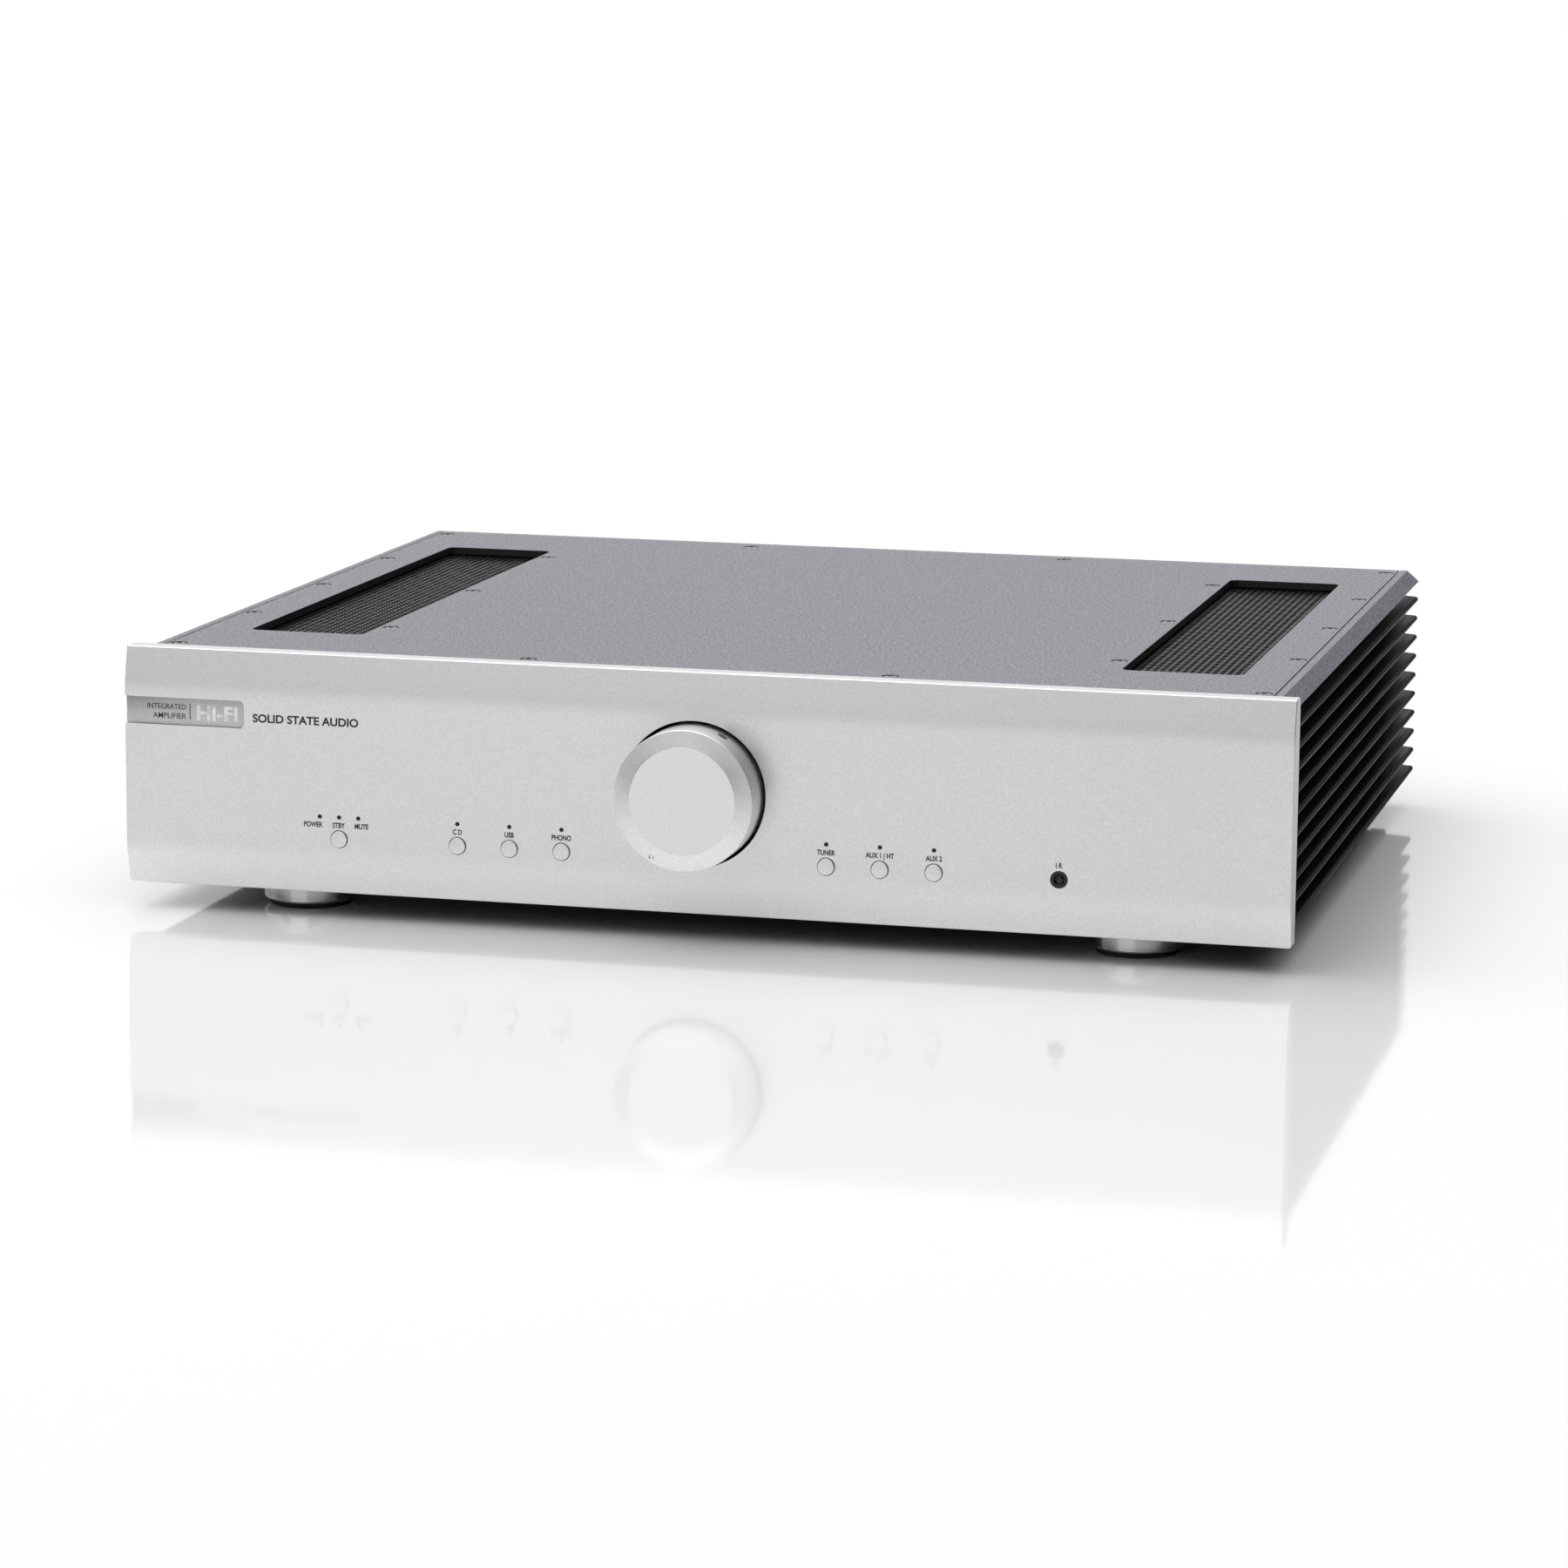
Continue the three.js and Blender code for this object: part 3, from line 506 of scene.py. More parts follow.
PANEL_LOW, PANEL_HIGH = span("front_panel")
PANEL_Y = PANEL_LOW.y
PANEL_BACK_Y = PANEL_HIGH.y
LOWER_EDGE_Z = 24
UPPER_EDGE_Z = 86.3
LOWER_LEAN = 3.2
UPPER_LEAN = 3.1
PANEL_CORNER = 1.2
KNOB_LOW, KNOB_HIGH = span("volume_knob")
KNOB_Z = centre("volume_knob").z
KNOB_RADIUS = 26
KNOB_DISC_RADIUS = 19.9
KNOB_RIM_DEPTH = 1.4
KNOB_RIM_ROUND = 0.3
KNOB_HOLE_RADIUS = 27.2
DIMPLE_ANGLE = math.radians(241)
DIMPLE_REACH = 24.2
BUTTON_BODIES = ["standby_button"] + [f"input_button_{i}" for i in range(1, 7)]
BUTTON_RADIUS = 3.1
BUTTON_HOLE_RADIUS = 3.35
BUTTON_EDGE = 0.22
BUTTON_STEM_RADIUS = 1.5
FLANGE = 1.2  # how far a flange stands out behind the panel
LIGHT_Z = centre("light_pipes_status").z
LIGHT_RADIUS = 0.7
LIGHT_HOLE_RADIUS = 0.8
LIGHT_PITCH = 7.5
WINDOW_RADIUS = 3.05
BADGE_CORNER = 2.0
BADGE_FIT = 0.2  # from the plate's CAD outline to the pocket's
GRUB_ANGLE = math.radians(28)


def button_x(body):
    return centre(body).x


def light_xs():
    standby = button_x("standby_button")
    status = [standby + step * LIGHT_PITCH for step in (-1, 0, 1)]
    return status, [button_x(body) for body in BUTTON_BODIES[1:]]


def badge_outline(gap):
    low, high = span("badge_plate")
    grown = BADGE_FIT - gap
    left = PANEL_LOW.x - 1 if gap == 0 else low.x
    return rounded(
        left, high.x + grown, low.z - grown, high.z + grown,
        (0, BADGE_CORNER - gap, BADGE_CORNER - gap, 0),
    )


def eased(before, corner, after, reach=3.0, steps=3):
    """Points of a soft curve that takes the place of a corner."""
    before, corner, after = Vector(before), Vector(corner), Vector(after)
    start = corner + (before - corner).normalized() * reach
    end = corner + (after - corner).normalized() * reach
    points = []
    for i in range(steps + 1):
        t = i / steps
        points.append(tuple(start * (1 - t) ** 2 + corner * 2 * t * (1 - t) + end * t**2))
    return points


def panel_section():
    """The panel seen from its end: an upright face between two bands that lean back."""
    foot = (PANEL_Y + LOWER_LEAN, PANEL_LOW.z)
    lower = (PANEL_Y, LOWER_EDGE_Z)
    upper = (PANEL_Y, UPPER_EDGE_Z)
    head = (PANEL_Y + UPPER_LEAN, PANEL_HIGH.z)
    return [
        foot, *eased(foot, lower, upper), *eased(lower, upper, head), head,
        (PANEL_BACK_Y, PANEL_HIGH.z), (PANEL_BACK_Y, PANEL_LOW.z),
    ]


def front_panel():
    panel = raw_object("front_panel_shell", prism(panel_section(), "X", PANEL_LOW.x, PANEL_HIGH.x))
    y0, y1 = PANEL_Y - 1, PANEL_BACK_Y + 1
    corners = (PANEL_CORNER, PANEL_CORNER, 0, 0)
    outline = rounded(PANEL_LOW.x, PANEL_HIGH.x, PANEL_LOW.z, PANEL_HIGH.z, corners)
    combine(panel, prism(outline, "Y", y0, y1), "INTERSECT")
    soften(panel, 0.35, 2, 60)
    status, inputs = light_xs()
    window = centre("receiver_window")
    badge_back = span("badge_plate")[1].y + 0.1
    tools = [
        rod(KNOB_HOLE_RADIUS, "Y", (0, KNOB_Z), y0, y1, 160),
        rod(WINDOW_RADIUS + 0.15, "Y", (window.x, window.z), y0, y1, 48),
        prism(badge_outline(0), "Y", y0, badge_back),
    ]
    for body in BUTTON_BODIES:
        place = centre(body)
        tools.append(rod(BUTTON_HOLE_RADIUS, "Y", (place.x, place.z), y0, y1, 56))
    for x in status + inputs:
        tools.append(rod(LIGHT_HOLE_RADIUS, "Y", (x, LIGHT_Z), y0, y1, 24))
    combine(panel, merged(*tools), "DIFFERENCE")
    soften(panel, 0.1, 2, 60)
    finished(panel, SILVER, replaces=["front_panel"], smooth_below=12)


BADGE_MARGIN_X = 23.5  # from the badge's left end to the right end of its small words
BADGE_SMALL_HEIGHT = 2.1
BADGE_BAR_WIDTH = 0.35
BADGE_BAR_HALF = 3.0


def badge():
    low, high = span("badge_plate")
    middle = centre("badge_plate").z
    plate = prism(badge_outline(0.1), "Y", low.y, high.y)
    make("badge_face", plate, BADGE, replaces=["badge_plate"], edge=0.06)
    face = low.y
    small_end = low.x + BADGE_MARGIN_X
    small = {"align": "right", "weight": 0.008}
    words = [
        written("INTEGRATED", small_end, middle + 1.65, BADGE_SMALL_HEIGHT, face, width=15.3, **small),
        written("AMPLIFIER", small_end, middle - 1.8, BADGE_SMALL_HEIGHT, face, width=13.1, **small),
    ]
    lettering("badge_words", words, INK_DARK)
    bar_x = small_end + 1.4
    bar = block(
        bar_x, bar_x + BADGE_BAR_WIDTH, face - INK_DEPTH / 2, face + INK_DEPTH / 2,
        middle - BADGE_BAR_HALF, middle + BADGE_BAR_HALF,
    )
    make("badge_bar", bar, INK_DARK)
    kind = written("HI-FI", high.x - 10.8, middle - 0.1, 5.5, face, width=16.0, weight=0.035)
    lettering("badge_type", [kind], INK_LIGHT)
    beside = written(
        "SOLID STATE AUDIO", high.x + 3.7, middle - 0.9, 3.1, PANEL_Y, "left", width=41.3, weight=0.03,
    )
    lettering("panel_words", [beside], INK_DARK)


LABEL_DROP = 2.95  # from the lights down to the middle of the labels
LABEL_HEIGHT = 1.95
STATUS_LABELS = {"POWER": -2.6, "STBY": -0.1, "MUTE": 1.3}  # each with its shift from its light
INPUT_LABELS = ["C D", "USB", "PHONO", "TUNER", "AUX 1 | HT", "AUX 2"]


def front_labels():
    status, inputs = light_xs()
    places = [(text, x + shift) for (text, shift), x in zip(STATUS_LABELS.items(), status)]
    places += zip(INPUT_LABELS, inputs)
    places.append(("I R", centre("receiver_window").x))
    z = LIGHT_Z - LABEL_DROP
    shapes = [written(text, x, z, LABEL_HEIGHT, PANEL_Y, squeeze=0.78, weight=0.036) for text, x in places]
    lettering("front_labels", shapes, INK_DARK)


def buttons():
    y0 = PANEL_BACK_Y + 0.3
    y1 = y0 + 1
    r = BUTTON_RADIUS
    for body in BUTTON_BODIES:
        low, high = span(body)
        place = centre(body)
        profile = [
            (0, low.y), *arc(r - BUTTON_EDGE, low.y + BUTTON_EDGE, BUTTON_EDGE, -90, 0, 5),
            (r, y0), (r + FLANGE, y0), (r + FLANGE, y1),
            (BUTTON_STEM_RADIUS, y1), (BUTTON_STEM_RADIUS, high.y), (0, high.y),
        ]
        shape = turned(profile, "Y", (place.x, place.z), 64)
        make(f"{body}_cap", shape, SILVER, body, [body])


def light_pipes():
    status, inputs = light_xs()
    groups = {
        "light_pipes_status": status,
        "light_pipes_inputs_left": inputs[:3],
        "light_pipes_inputs_right": inputs[3:],
    }
    for node, xs in groups.items():
        low, high = span(node)
        bar_y = high.y - 2.8
        r = LIGHT_RADIUS
        dome = [(0, low.y), (r * 0.6, low.y + 0.04), (r, low.y + 0.22), (r, bar_y), (0, bar_y)]
        pins = [turned(dome, "Y", (x, LIGHT_Z), 24) for x in xs]
        bar = block(low.x, high.x, bar_y, high.y, low.z, high.z)
        make(f"{node}_lens", merged(bar, *pins), LENS, replaces=[node])


def receiver_window():
    low, high = span("receiver_window")
    place = (centre("receiver_window").x, centre("receiver_window").z)
    r = WINDOW_RADIUS
    well = low.y + 0.75
    bowl = [
        (1.55 * math.sin(step * 0.3), well + 0.35 * (1 - math.cos(step * 0.3))) for step in range(1, 6)
    ]
    ring = [(1.75, low.y + 0.95), (1.95, low.y + 0.2), (2.15, low.y), (r - 0.1, low.y), (r, low.y + 0.1)]
    flange_y = high.y - 1.2
    flange = [(r, flange_y), (r + 1.4, flange_y), (r + 1.4, high.y), (0, high.y)]
    shape = turned([(0, well), *bowl, *ring, *flange], "Y", place, 64)
    make("receiver_lens", shape, LENS, replaces=["receiver_window"])


def knob_section():
    """Half of the knob's section: the face disc, the cone, the rim, and the hollow back with its hub."""
    face, back = KNOB_LOW.y, KNOB_HIGH.y
    r, disc, edge = KNOB_RADIUS, KNOB_DISC_RADIUS, KNOB_RIM_ROUND
    rim = face + KNOB_RIM_DEPTH
    inner, hub, bore = 22, 8, 3.1
    return [
        (0, face), (disc - 0.12, face), (disc, face + 0.05), (r - edge, rim),
        *arc(r - edge, rim + edge, edge, -70, 0, 12),
        (r, back - edge), (r - edge, back), (inner, back), (inner, face + 7.5),
        (hub, face + 7.5), (hub, back - 1), (bore, back - 1), (bore, face + 6), (0, face + 6),
    ]


def knob_dimple():
    """The round mark in the knob's cone."""
    face = KNOB_LOW.y
    section = [
        (0, face + 1.75), (0.5, face + 1.7), (0.9, face + 1.45), (1.15, face + 0.9), (1.15, face - 1),
        (0, face - 1),
    ]
    x = DIMPLE_REACH * math.cos(DIMPLE_ANGLE)
    z = KNOB_Z + DIMPLE_REACH * math.sin(DIMPLE_ANGLE)
    return turned(section, "Y", (x, z), 40)


def volume_knob():
    knob = raw_object("volume_knob_cap", turned(knob_section(), "Y", (0, KNOB_Z), 240))
    verts, faces = rod(2, "Z", (0, 0), 2, KNOB_RADIUS + 2, 40)
    turn = Matrix.Rotation(GRUB_ANGLE, 3, "Y")
    start = Vector((0, centre("knob_grub_screw").y, KNOB_Z))
    combine(knob, ([tuple(turn @ Vector(v) + start) for v in verts], faces), "DIFFERENCE")
    combine(knob, knob_dimple(), "DIFFERENCE")
    finished(knob, KNOB_SILVER, "volume_knob", ["volume_knob"], 9)


# ---- top ----

COVER_LOW, COVER_HIGH = span("top_cover")
COVER_INSET = 0.2
VENT_WIDTH = 45
VENT_LENGTH = 251
VENT_CORNER = 3.5
VENT_X = centre("vent_mesh_right").x
VENT_Y = centre("vent_mesh_right").y
SCREW_RECESS = 3.2
SCREW_RECESS_DEPTH = 1.7
SCREW_RADIUS = 3.0
SCREW_DOME = 0.75
SCREW_ROWS_Y = (-163.9, -81.45, 1, 83.45, 165.9)
SCREW_OUTER_X = 205.5
SCREW_INNER_X = 142
SCREW_INNER_Y = (-103.6, 1, 106.9)
SCREW_MIDDLE_X = 68.6
HOLE_PITCH = 3.24
HOLE_RADIUS = 1.49
HOLE_SIDES = 18
GRILLE_THICKNESS = 0.8
GRILLE_MARGIN = 1.5


def screw_places():
    places = []
    for side in (-1, 1):
        places += [(side * SCREW_OUTER_X, y) for y in SCREW_ROWS_Y]
        places += [(side * SCREW_INNER_X, y) for y in SCREW_INNER_Y]
        places += [(side * SCREW_MIDDLE_X, y) for y in (SCREW_ROWS_Y[0], SCREW_ROWS_Y[-1])]
    return places


def vent_outline(x):
    return rounded(
        x - VENT_WIDTH / 2, x + VENT_WIDTH / 2, VENT_Y - VENT_LENGTH / 2, VENT_Y + VENT_LENGTH / 2,
        VENT_CORNER, 10,
    )


def top_cover():
    plate = block(
        COVER_LOW.x + COVER_INSET, COVER_HIGH.x - COVER_INSET, COVER_LOW.y, COVER_HIGH.y,
        COVER_LOW.z, COVER_HIGH.z,
    )
    cover = raw_object("cover_plate", plate)
    z0, z1 = COVER_LOW.z - 1, COVER_HIGH.z + 1
    tools = [prism(vent_outline(x), "Z", z0, z1) for x in (-VENT_X, VENT_X)]
    floor = COVER_HIGH.z - SCREW_RECESS_DEPTH
    tools += [rod(SCREW_RECESS, "Z", place, floor, z1, 48) for place in screw_places()]
    combine(cover, merged(*tools), "DIFFERENCE")
    soften(cover, 0.15, 2, 60)
    finished(cover, COVER, replaces=["top_cover"], smooth_below=20)
    paint_shade_on_window_walls(cover)


def paint_shade_on_window_walls(cover):
    # The walls of the vent windows are painted black as painted shade inside the cut-outs.
    cover.data.materials.append(STEEL_BLACK_AND_SHADE)
    for face in cover.data.polygons:
        x, y = abs(face.center.x / MM), face.center.y / MM
        inside = abs(x - VENT_X) < VENT_WIDTH / 2 + 1 and abs(y - VENT_Y) < VENT_LENGTH / 2 + 1
        if inside and abs(face.normal.z) < 0.5:
            face.material_index = 1


def cover_screws():
    """Button heads with a hexagon socket, one in each recess."""
    low = COVER_HIGH.z - SCREW_RECESS_DEPTH + 0.1
    shoulder = COVER_HIGH.z - SCREW_DOME
    r = SCREW_RADIUS
    profile = [(0, low), (r, low), (r, shoulder)]
    for angle in range(10, 80, 10):
        across, up = math.cos(math.radians(angle)), math.sin(math.radians(angle))
        profile.append((r * across, shoulder + SCREW_DOME * up))
    profile.append((0, shoulder + SCREW_DOME))
    head = raw_object("screw_pattern", turned(profile, "Z", (0, 0), 48))
    socket = rod(1.15, "Z", (0, 0), low + 0.4, low + 3, 6)
    combine(head, socket, "DIFFERENCE")
    verts = [tuple(v.co / MM) for v in head.data.vertices]
    faces = [tuple(p.vertices) for p in head.data.polygons]
    bpy.data.meshes.remove(head.data)
    copies = []
    for i, (x, y) in enumerate(screw_places()):
        turn = Matrix.Rotation(math.radians(37 * i % 60), 3, "Z")
        placed = [tuple(turn @ Vector(v) + Vector((x, y, 0))) for v in verts]
        copies.append((placed, faces))
    make("cover_screws", merged(*copies), SCREW, smooth_below=30)


def cell_edge(angle):
    """Distance from a hexagonal cell's centre to its border."""
    return HOLE_PITCH / 2 / math.cos(angle % (math.pi / 3) - math.pi / 6)


def cell_centres(x0, x1, y0, y1):
    """Centres of the cells that fill a rectangle, in staggered columns along Y."""
    step = HOLE_PITCH * math.sqrt(3) / 2
    columns = int((x1 - x0) / step)
    rows = int((y1 - y0) / HOLE_PITCH)
    for column in range(columns):
        stagger = 0.25 if column % 2 else -0.25
        for row in range(rows):
            x = (x0 + x1) / 2 + (column - (columns - 1) / 2) * step
            y = (y0 + y1) / 2 + (row - (rows - 1) / 2 + stagger) * HOLE_PITCH
            yield x, y


def single_edges(faces):
    """Edges that only one face uses."""
    uses = {}
    for face in faces:
        for i, a in enumerate(face):
            edge = frozenset((a, face[(i + 1) % len(face)]))
            uses[edge] = uses.get(edge, 0) + 1
    return [edge for edge, count in uses.items() if count == 1]


def perforated(x0, x1, y0, y1, z0, z1):
    """A plate of hexagonal cells, each with a round hole."""
    verts, faces, index = [], [], {}

    def vertex(x, y, z):
        key = (round(x, 3), round(y, 3), round(z, 3))
        if key not in index:
            index[key] = len(verts)
            verts.append((x, y, z))
        return index[key]

    angles = [2 * math.pi * k / HOLE_SIDES for k in range(HOLE_SIDES)]
    for cx, cy in cell_centres(x0, x1, y0, y1):
        rim = [(cx + cell_edge(a) * math.cos(a), cy + cell_edge(a) * math.sin(a)) for a in angles]
        hole = [(cx + HOLE_RADIUS * math.cos(a), cy + HOLE_RADIUS * math.sin(a)) for a in angles]
        for k in range(HOLE_SIDES):
            j = (k + 1) % HOLE_SIDES
            for z in (z0, z1):
                faces.append(tuple(vertex(*p, z) for p in (rim[k], rim[j], hole[j], hole[k])))
            wall = ((hole[k], z0), (hole[j], z0), (hole[j], z1), (hole[k], z1))
            faces.append(tuple(vertex(*p, z) for p, z in wall))
    for edge in single_edges(faces):
        a, b = sorted(edge)
        if verts[a][2] == z0 == verts[b][2]:
            above = [vertex(verts[i][0], verts[i][1], z1) for i in (b, a)]
            faces.append((a, b, *above))
    return verts, faces


def vent_meshes():
    top = span("vent_mesh_right")[1].z
    across = VENT_WIDTH / 2 + GRILLE_MARGIN
    along = VENT_LENGTH / 2 + GRILLE_MARGIN
    for side, hand in ((-1, "left"), (1, "right")):
        x = side * VENT_X
        y0, y1 = VENT_Y - along, VENT_Y + along
        shape = perforated(x - across, x + across, y0, y1, top - GRILLE_THICKNESS, top)
        grille = make(f"vent_grille_{hand}", shape, MESH, replaces=[f"vent_mesh_{hand}"])
        # The hole walls get the matt black as painted shade; the tops keep the mesh metal.
        grille.data.materials.append(MATT_BLACK_AND_SHADE)
        for face in grille.data.polygons:
            face.material_index = int(abs(face.normal.z) < 0.5)


# ---- heatsinks ----

FIN_COUNT = 10
FIN_PITCH = 8
TOP_FIN_Z = 87.2
FIN_TIP_HALF = 1.15
FIN_ROOT_HALF = 1.7
FIN_ROOT_X = 207
RAIL_LOW_Z = 94.1
RAIL_INNER_X = 210
RAIL_BEVEL_X = 213
RAIL_FACE_HIGH_Z = 95


def fin_section(low, high, under_cover_z):
    root_round = 0.9
    points = [(low.x, low.z), (FIN_ROOT_X, low.z)]
    tip_x = high.x - FIN_TIP_HALF
    for i in reversed(range(FIN_COUNT)):
        z = TOP_FIN_Z - i * FIN_PITCH
        lower = arc(FIN_ROOT_X + root_round, z - FIN_ROOT_HALF - root_round, root_round, 180, 90, 4)
        upper = arc(FIN_ROOT_X + root_round, z + FIN_ROOT_HALF + root_round, root_round, 270, 180, 4)
        points += [*lower, *arc(tip_x, z, FIN_TIP_HALF, -90, 90, 10), *upper]
    points += [(FIN_ROOT_X, under_cover_z), (low.x, under_cover_z)]
    return points


def heatsinks():
    low, high = span("heatsink_right")
    under = span("vent_mesh_right")[1].z
    edge = 0.6
    rail = [
        (FIN_ROOT_X, RAIL_LOW_Z), (high.x - edge, RAIL_LOW_Z), (high.x, RAIL_LOW_Z + edge),
        (high.x, RAIL_FACE_HIGH_Z), (RAIL_BEVEL_X, high.z), (RAIL_INNER_X, high.z), (RAIL_INNER_X, under),
        (FIN_ROOT_X, under),
    ]
    fins = prism(fin_section(low, high, under), "Y", low.y, high.y)
    bar = prism(rail, "Y", low.y, high.y)
    for hand, side in (("left", mirrored_x), ("right", lambda shape: shape)):
        name = f"heatsink_{hand}"
        make(f"{name}_fins", side(fins), FIN, replaces=[name])
        make(f"{name}_rail", side(bar), COVER, edge=0.15, smooth_below=20)


# ---- feet ----

FOOT_RADIUS = 17.5
FOOT_PAD_RADIUS = 15.5
FOOT_PAD_RING = 5  # width of the ring that the pad stands on


def foot_body(place):
    name = f"foot_{place}"
    low, high = span(name)
    r = FOOT_RADIUS
    profile = [
        (0, low.z), (r - 1.2, low.z), (r - 0.5, low.z + 0.25), (r, low.z + 0.9),
        (r, high.z - 0.4), (r - 0.4, high.z), (0, high.z),
    ]
    shape = turned(profile, "Z", centre(name).xy, 128)
    make(f"{name}_body", shape, FOOT, replaces=[name], smooth_below=25)


def foot_pad(place):
    name = f"foot_pad_{place}"
    low, high = span(name)
    r, ring = FOOT_PAD_RADIUS, FOOT_PAD_RADIUS - FOOT_PAD_RING
    profile = [
        (0, 0.25), (ring, 0.25), (ring + 0.4, low.z), (r - 0.5, low.z), (r, 0.5), (r, high.z), (0, high.z),
    ]
    shape = turned(profile, "Z", centre(f"foot_{place}").xy, 96)
    make(f"{name}_disc", shape, RUBBER, replaces=[name])


def feet():
    for place in ("front_left", "front_right", "rear_left", "rear_right"):
        foot_body(place)
        foot_pad(place)


# ---- rear ----

REAR_Y = span("rear_panel")[1].y
SEAT_Y = REAR_Y + 0.2  # outer pieces sit just off the panel
INNER_Y = REAR_Y - 2.3  # just inside the panel
SOCKET_PITCH = (14, 18)
TERMINAL_HALF_PITCH = 9.5


def socket_places(number):
    """Axes of a block's four sockets at (x, z), each with its row: 0.5 above, -0.5 below."""
    middle = centre(f"socket_block_{number}")
    for dx in (-0.5, 0.5):
        for dz in (-0.5, 0.5):
            yield (middle.x + dx * SOCKET_PITCH[0], middle.z + dz * SOCKET_PITCH[1]), dz


def phono_sockets():
    for number in (1, 2, 3):
        node = f"socket_block_{number}"
        low, high = span(node)
        end = high.y
        sleeve = [
            (4.15, INNER_Y), (4.15, REAR_Y + 1.2), (4.0, REAR_Y + 1.3), (4.0, REAR_Y + 1.7),
            (4.15, REAR_Y + 1.8), (4.15, end - 0.4), (3.85, end), (3.45, end), (3.3, end - 0.2),
            (3.3, INNER_Y),
        ]
        insert = [
            (3.2, INNER_Y + 0.1), (3.2, end - 0.7), (2.9, end - 0.45), (1.85, end - 0.45),
            (1.65, end - 0.7), (1.65, end - 9), (0, end - 9), (0, INNER_Y + 0.1),
        ]
        sleeves, upper, lower = [], [], []
        for at, row in socket_places(number):
            sleeves.append(turned(sleeve, "Y", at, 48, ring=True))
            (upper if row > 0 else lower).append(turned(insert, "Y", at, 40))
        body = block(low.x, high.x, low.y, INNER_Y, low.z, high.z)
        make(f"{node}_body", body, PLASTIC_BLACK, replaces=[node], edge=0.3)
        make(f"{node}_sleeves", merged(*sleeves), GOLD)
        make(f"{node}_left_inserts", merged(*upper), PLASTIC_WHITE)
        make(f"{node}_right_inserts", merged(*lower), PLASTIC_RED)


def data_socket():
    low, high = span("data_socket")
    x, z = centre("data_socket").x, centre("data_socket").z
    shell = raw_object("data_socket_shell", block(low.x, high.x, low.y, high.y, low.z, high.z))
    half, step, slope = 4.3, 2.7, 2.4
    half_z = 3.95
    mouth = [
        (x - half, z - half_z), (x + half, z - half_z), (x + half, z + slope),
        (x + step, z + half_z), (x - step, z + half_z), (x - half, z + slope),
    ]
    combine(shell, prism(mouth, "Y", high.y - 9, high.y + 1), "DIFFERENCE")
    soften(shell, 0.2)
    finished(shell, STEEL, replaces=["data_socket"], smooth_below=20)
    tongue = block(x - 2.8, x + 2.8, high.y - 9.3, high.y - 1, z - 1.6, z + 1.6)
    make("data_socket_tongue", tongue, PLASTIC_WHITE, edge=0.2)


def fluted(profile, at, flutes, depth, steps=8):
    """A turned grip whose outer wall has round flutes; a profile point is (radius, along, flute share)."""
    sides = flutes * steps
    verts, faces, rows = [], [], []
    for radius, along, share in profile:
        row = []
        for i in range(sides):
            angle = 2 * math.pi * i / sides
            wave = abs(math.sin(flutes * angle / 2)) ** 0.7
            r = radius - share * depth * (1 - wave)
            row.append(len(verts))
            verts.append((at[0] + r * math.cos(angle), along, at[1] + r * math.sin(angle)))
        rows.append(row)
    for lower, upper in zip(rows, rows[1:] + rows[:1]):
        for i in range(sides):
            j = (i + 1) % sides
            faces.append((lower[i], lower[j], upper[j], upper[i]))
    return verts, faces


def binding_nut(body, material):
    low, high = span(body)
    at = (centre(body).x, centre(body).z)
    y0, y1 = low.y, high.y
    r = 7.4
    grip = [
        (3.55, y0, 0), (6.4, y0, 0), (6.8, y0 + 0.4, 0), (6.8, y0 + 1.6, 0), (r, y0 + 2.2, 1),
        (r, y1 - 2.4, 1), (r - 0.35, y1 - 1.7, 1), (6.1, y1 - 0.9, 0), (5.8, y1 - 0.3, 0), (5.5, y1, 0),
        (2.3, y1, 0), (2.05, y1 - 0.3, 0), (2.05, y1 - 1.2, 0), (3.55, y1 - 1.2, 0),
    ]
    make(f"{body}_grip", fluted(grip, at, 18, 0.55), material, body, [body], smooth_below=40)


def binding_nuts():
    for hand in ("left", "right"):
        binding_nut(f"binding_nut_{hand}_black", PLASTIC_BLACK)
        binding_nut(f"binding_nut_{hand}_red", PLASTIC_RED)


def terminal_places(hand):
    middle = centre(f"speaker_terminal_{hand}")
    return [(middle.x + side * TERMINAL_HALF_PITCH, middle.z) for side in (-1, 1)]


def speaker_terminals():
    for hand in ("left", "right"):
        node = f"speaker_terminal_{hand}"
        low, high = span(node)
        middle = centre(node)
        outline = rounded(low.x, high.x, middle.z - 13, middle.z + 13, 2.5)
        plate = raw_object(f"{node}_plate", prism(outline, "Y", SEAT_Y, SEAT_Y + 3))
        stem = [
            (2.05, high.y), (3.0, high.y), (3.4, high.y - 0.4), (3.4, SEAT_Y + 0.4), (4.8, SEAT_Y - 0.1),
            (4.8, low.y), (2.05, low.y),
        ]
        places = terminal_places(hand)
        holes = [rod(3.6, "Y", at, SEAT_Y - 1, SEAT_Y + 4, 40) for at in places]
        combine(plate, merged(*holes), "DIFFERENCE")
        soften(plate, 0.3)
        finished(plate, PLASTIC_BLACK, replaces=[node], smooth_below=25)
        posts = [turned(stem, "Y", at, 40, ring=True) for at in places]
        make(f"{node}_posts", merged(*posts), GOLD)


THREAD_PITCH = 0.5


def threaded_stem(low_y, high_y):
    """Half of a stem's section, with a thread on its outer part."""
    stem = [(0, low_y), (2, low_y), (2, REAR_Y + 2)]
    y = REAR_Y + 2
    while y < high_y - 1:
        stem += [(1.75, y + THREAD_PITCH / 2), (2, y + THREAD_PITCH)]
        y += THREAD_PITCH
    return stem + [(1.6, high_y), (0, high_y)]


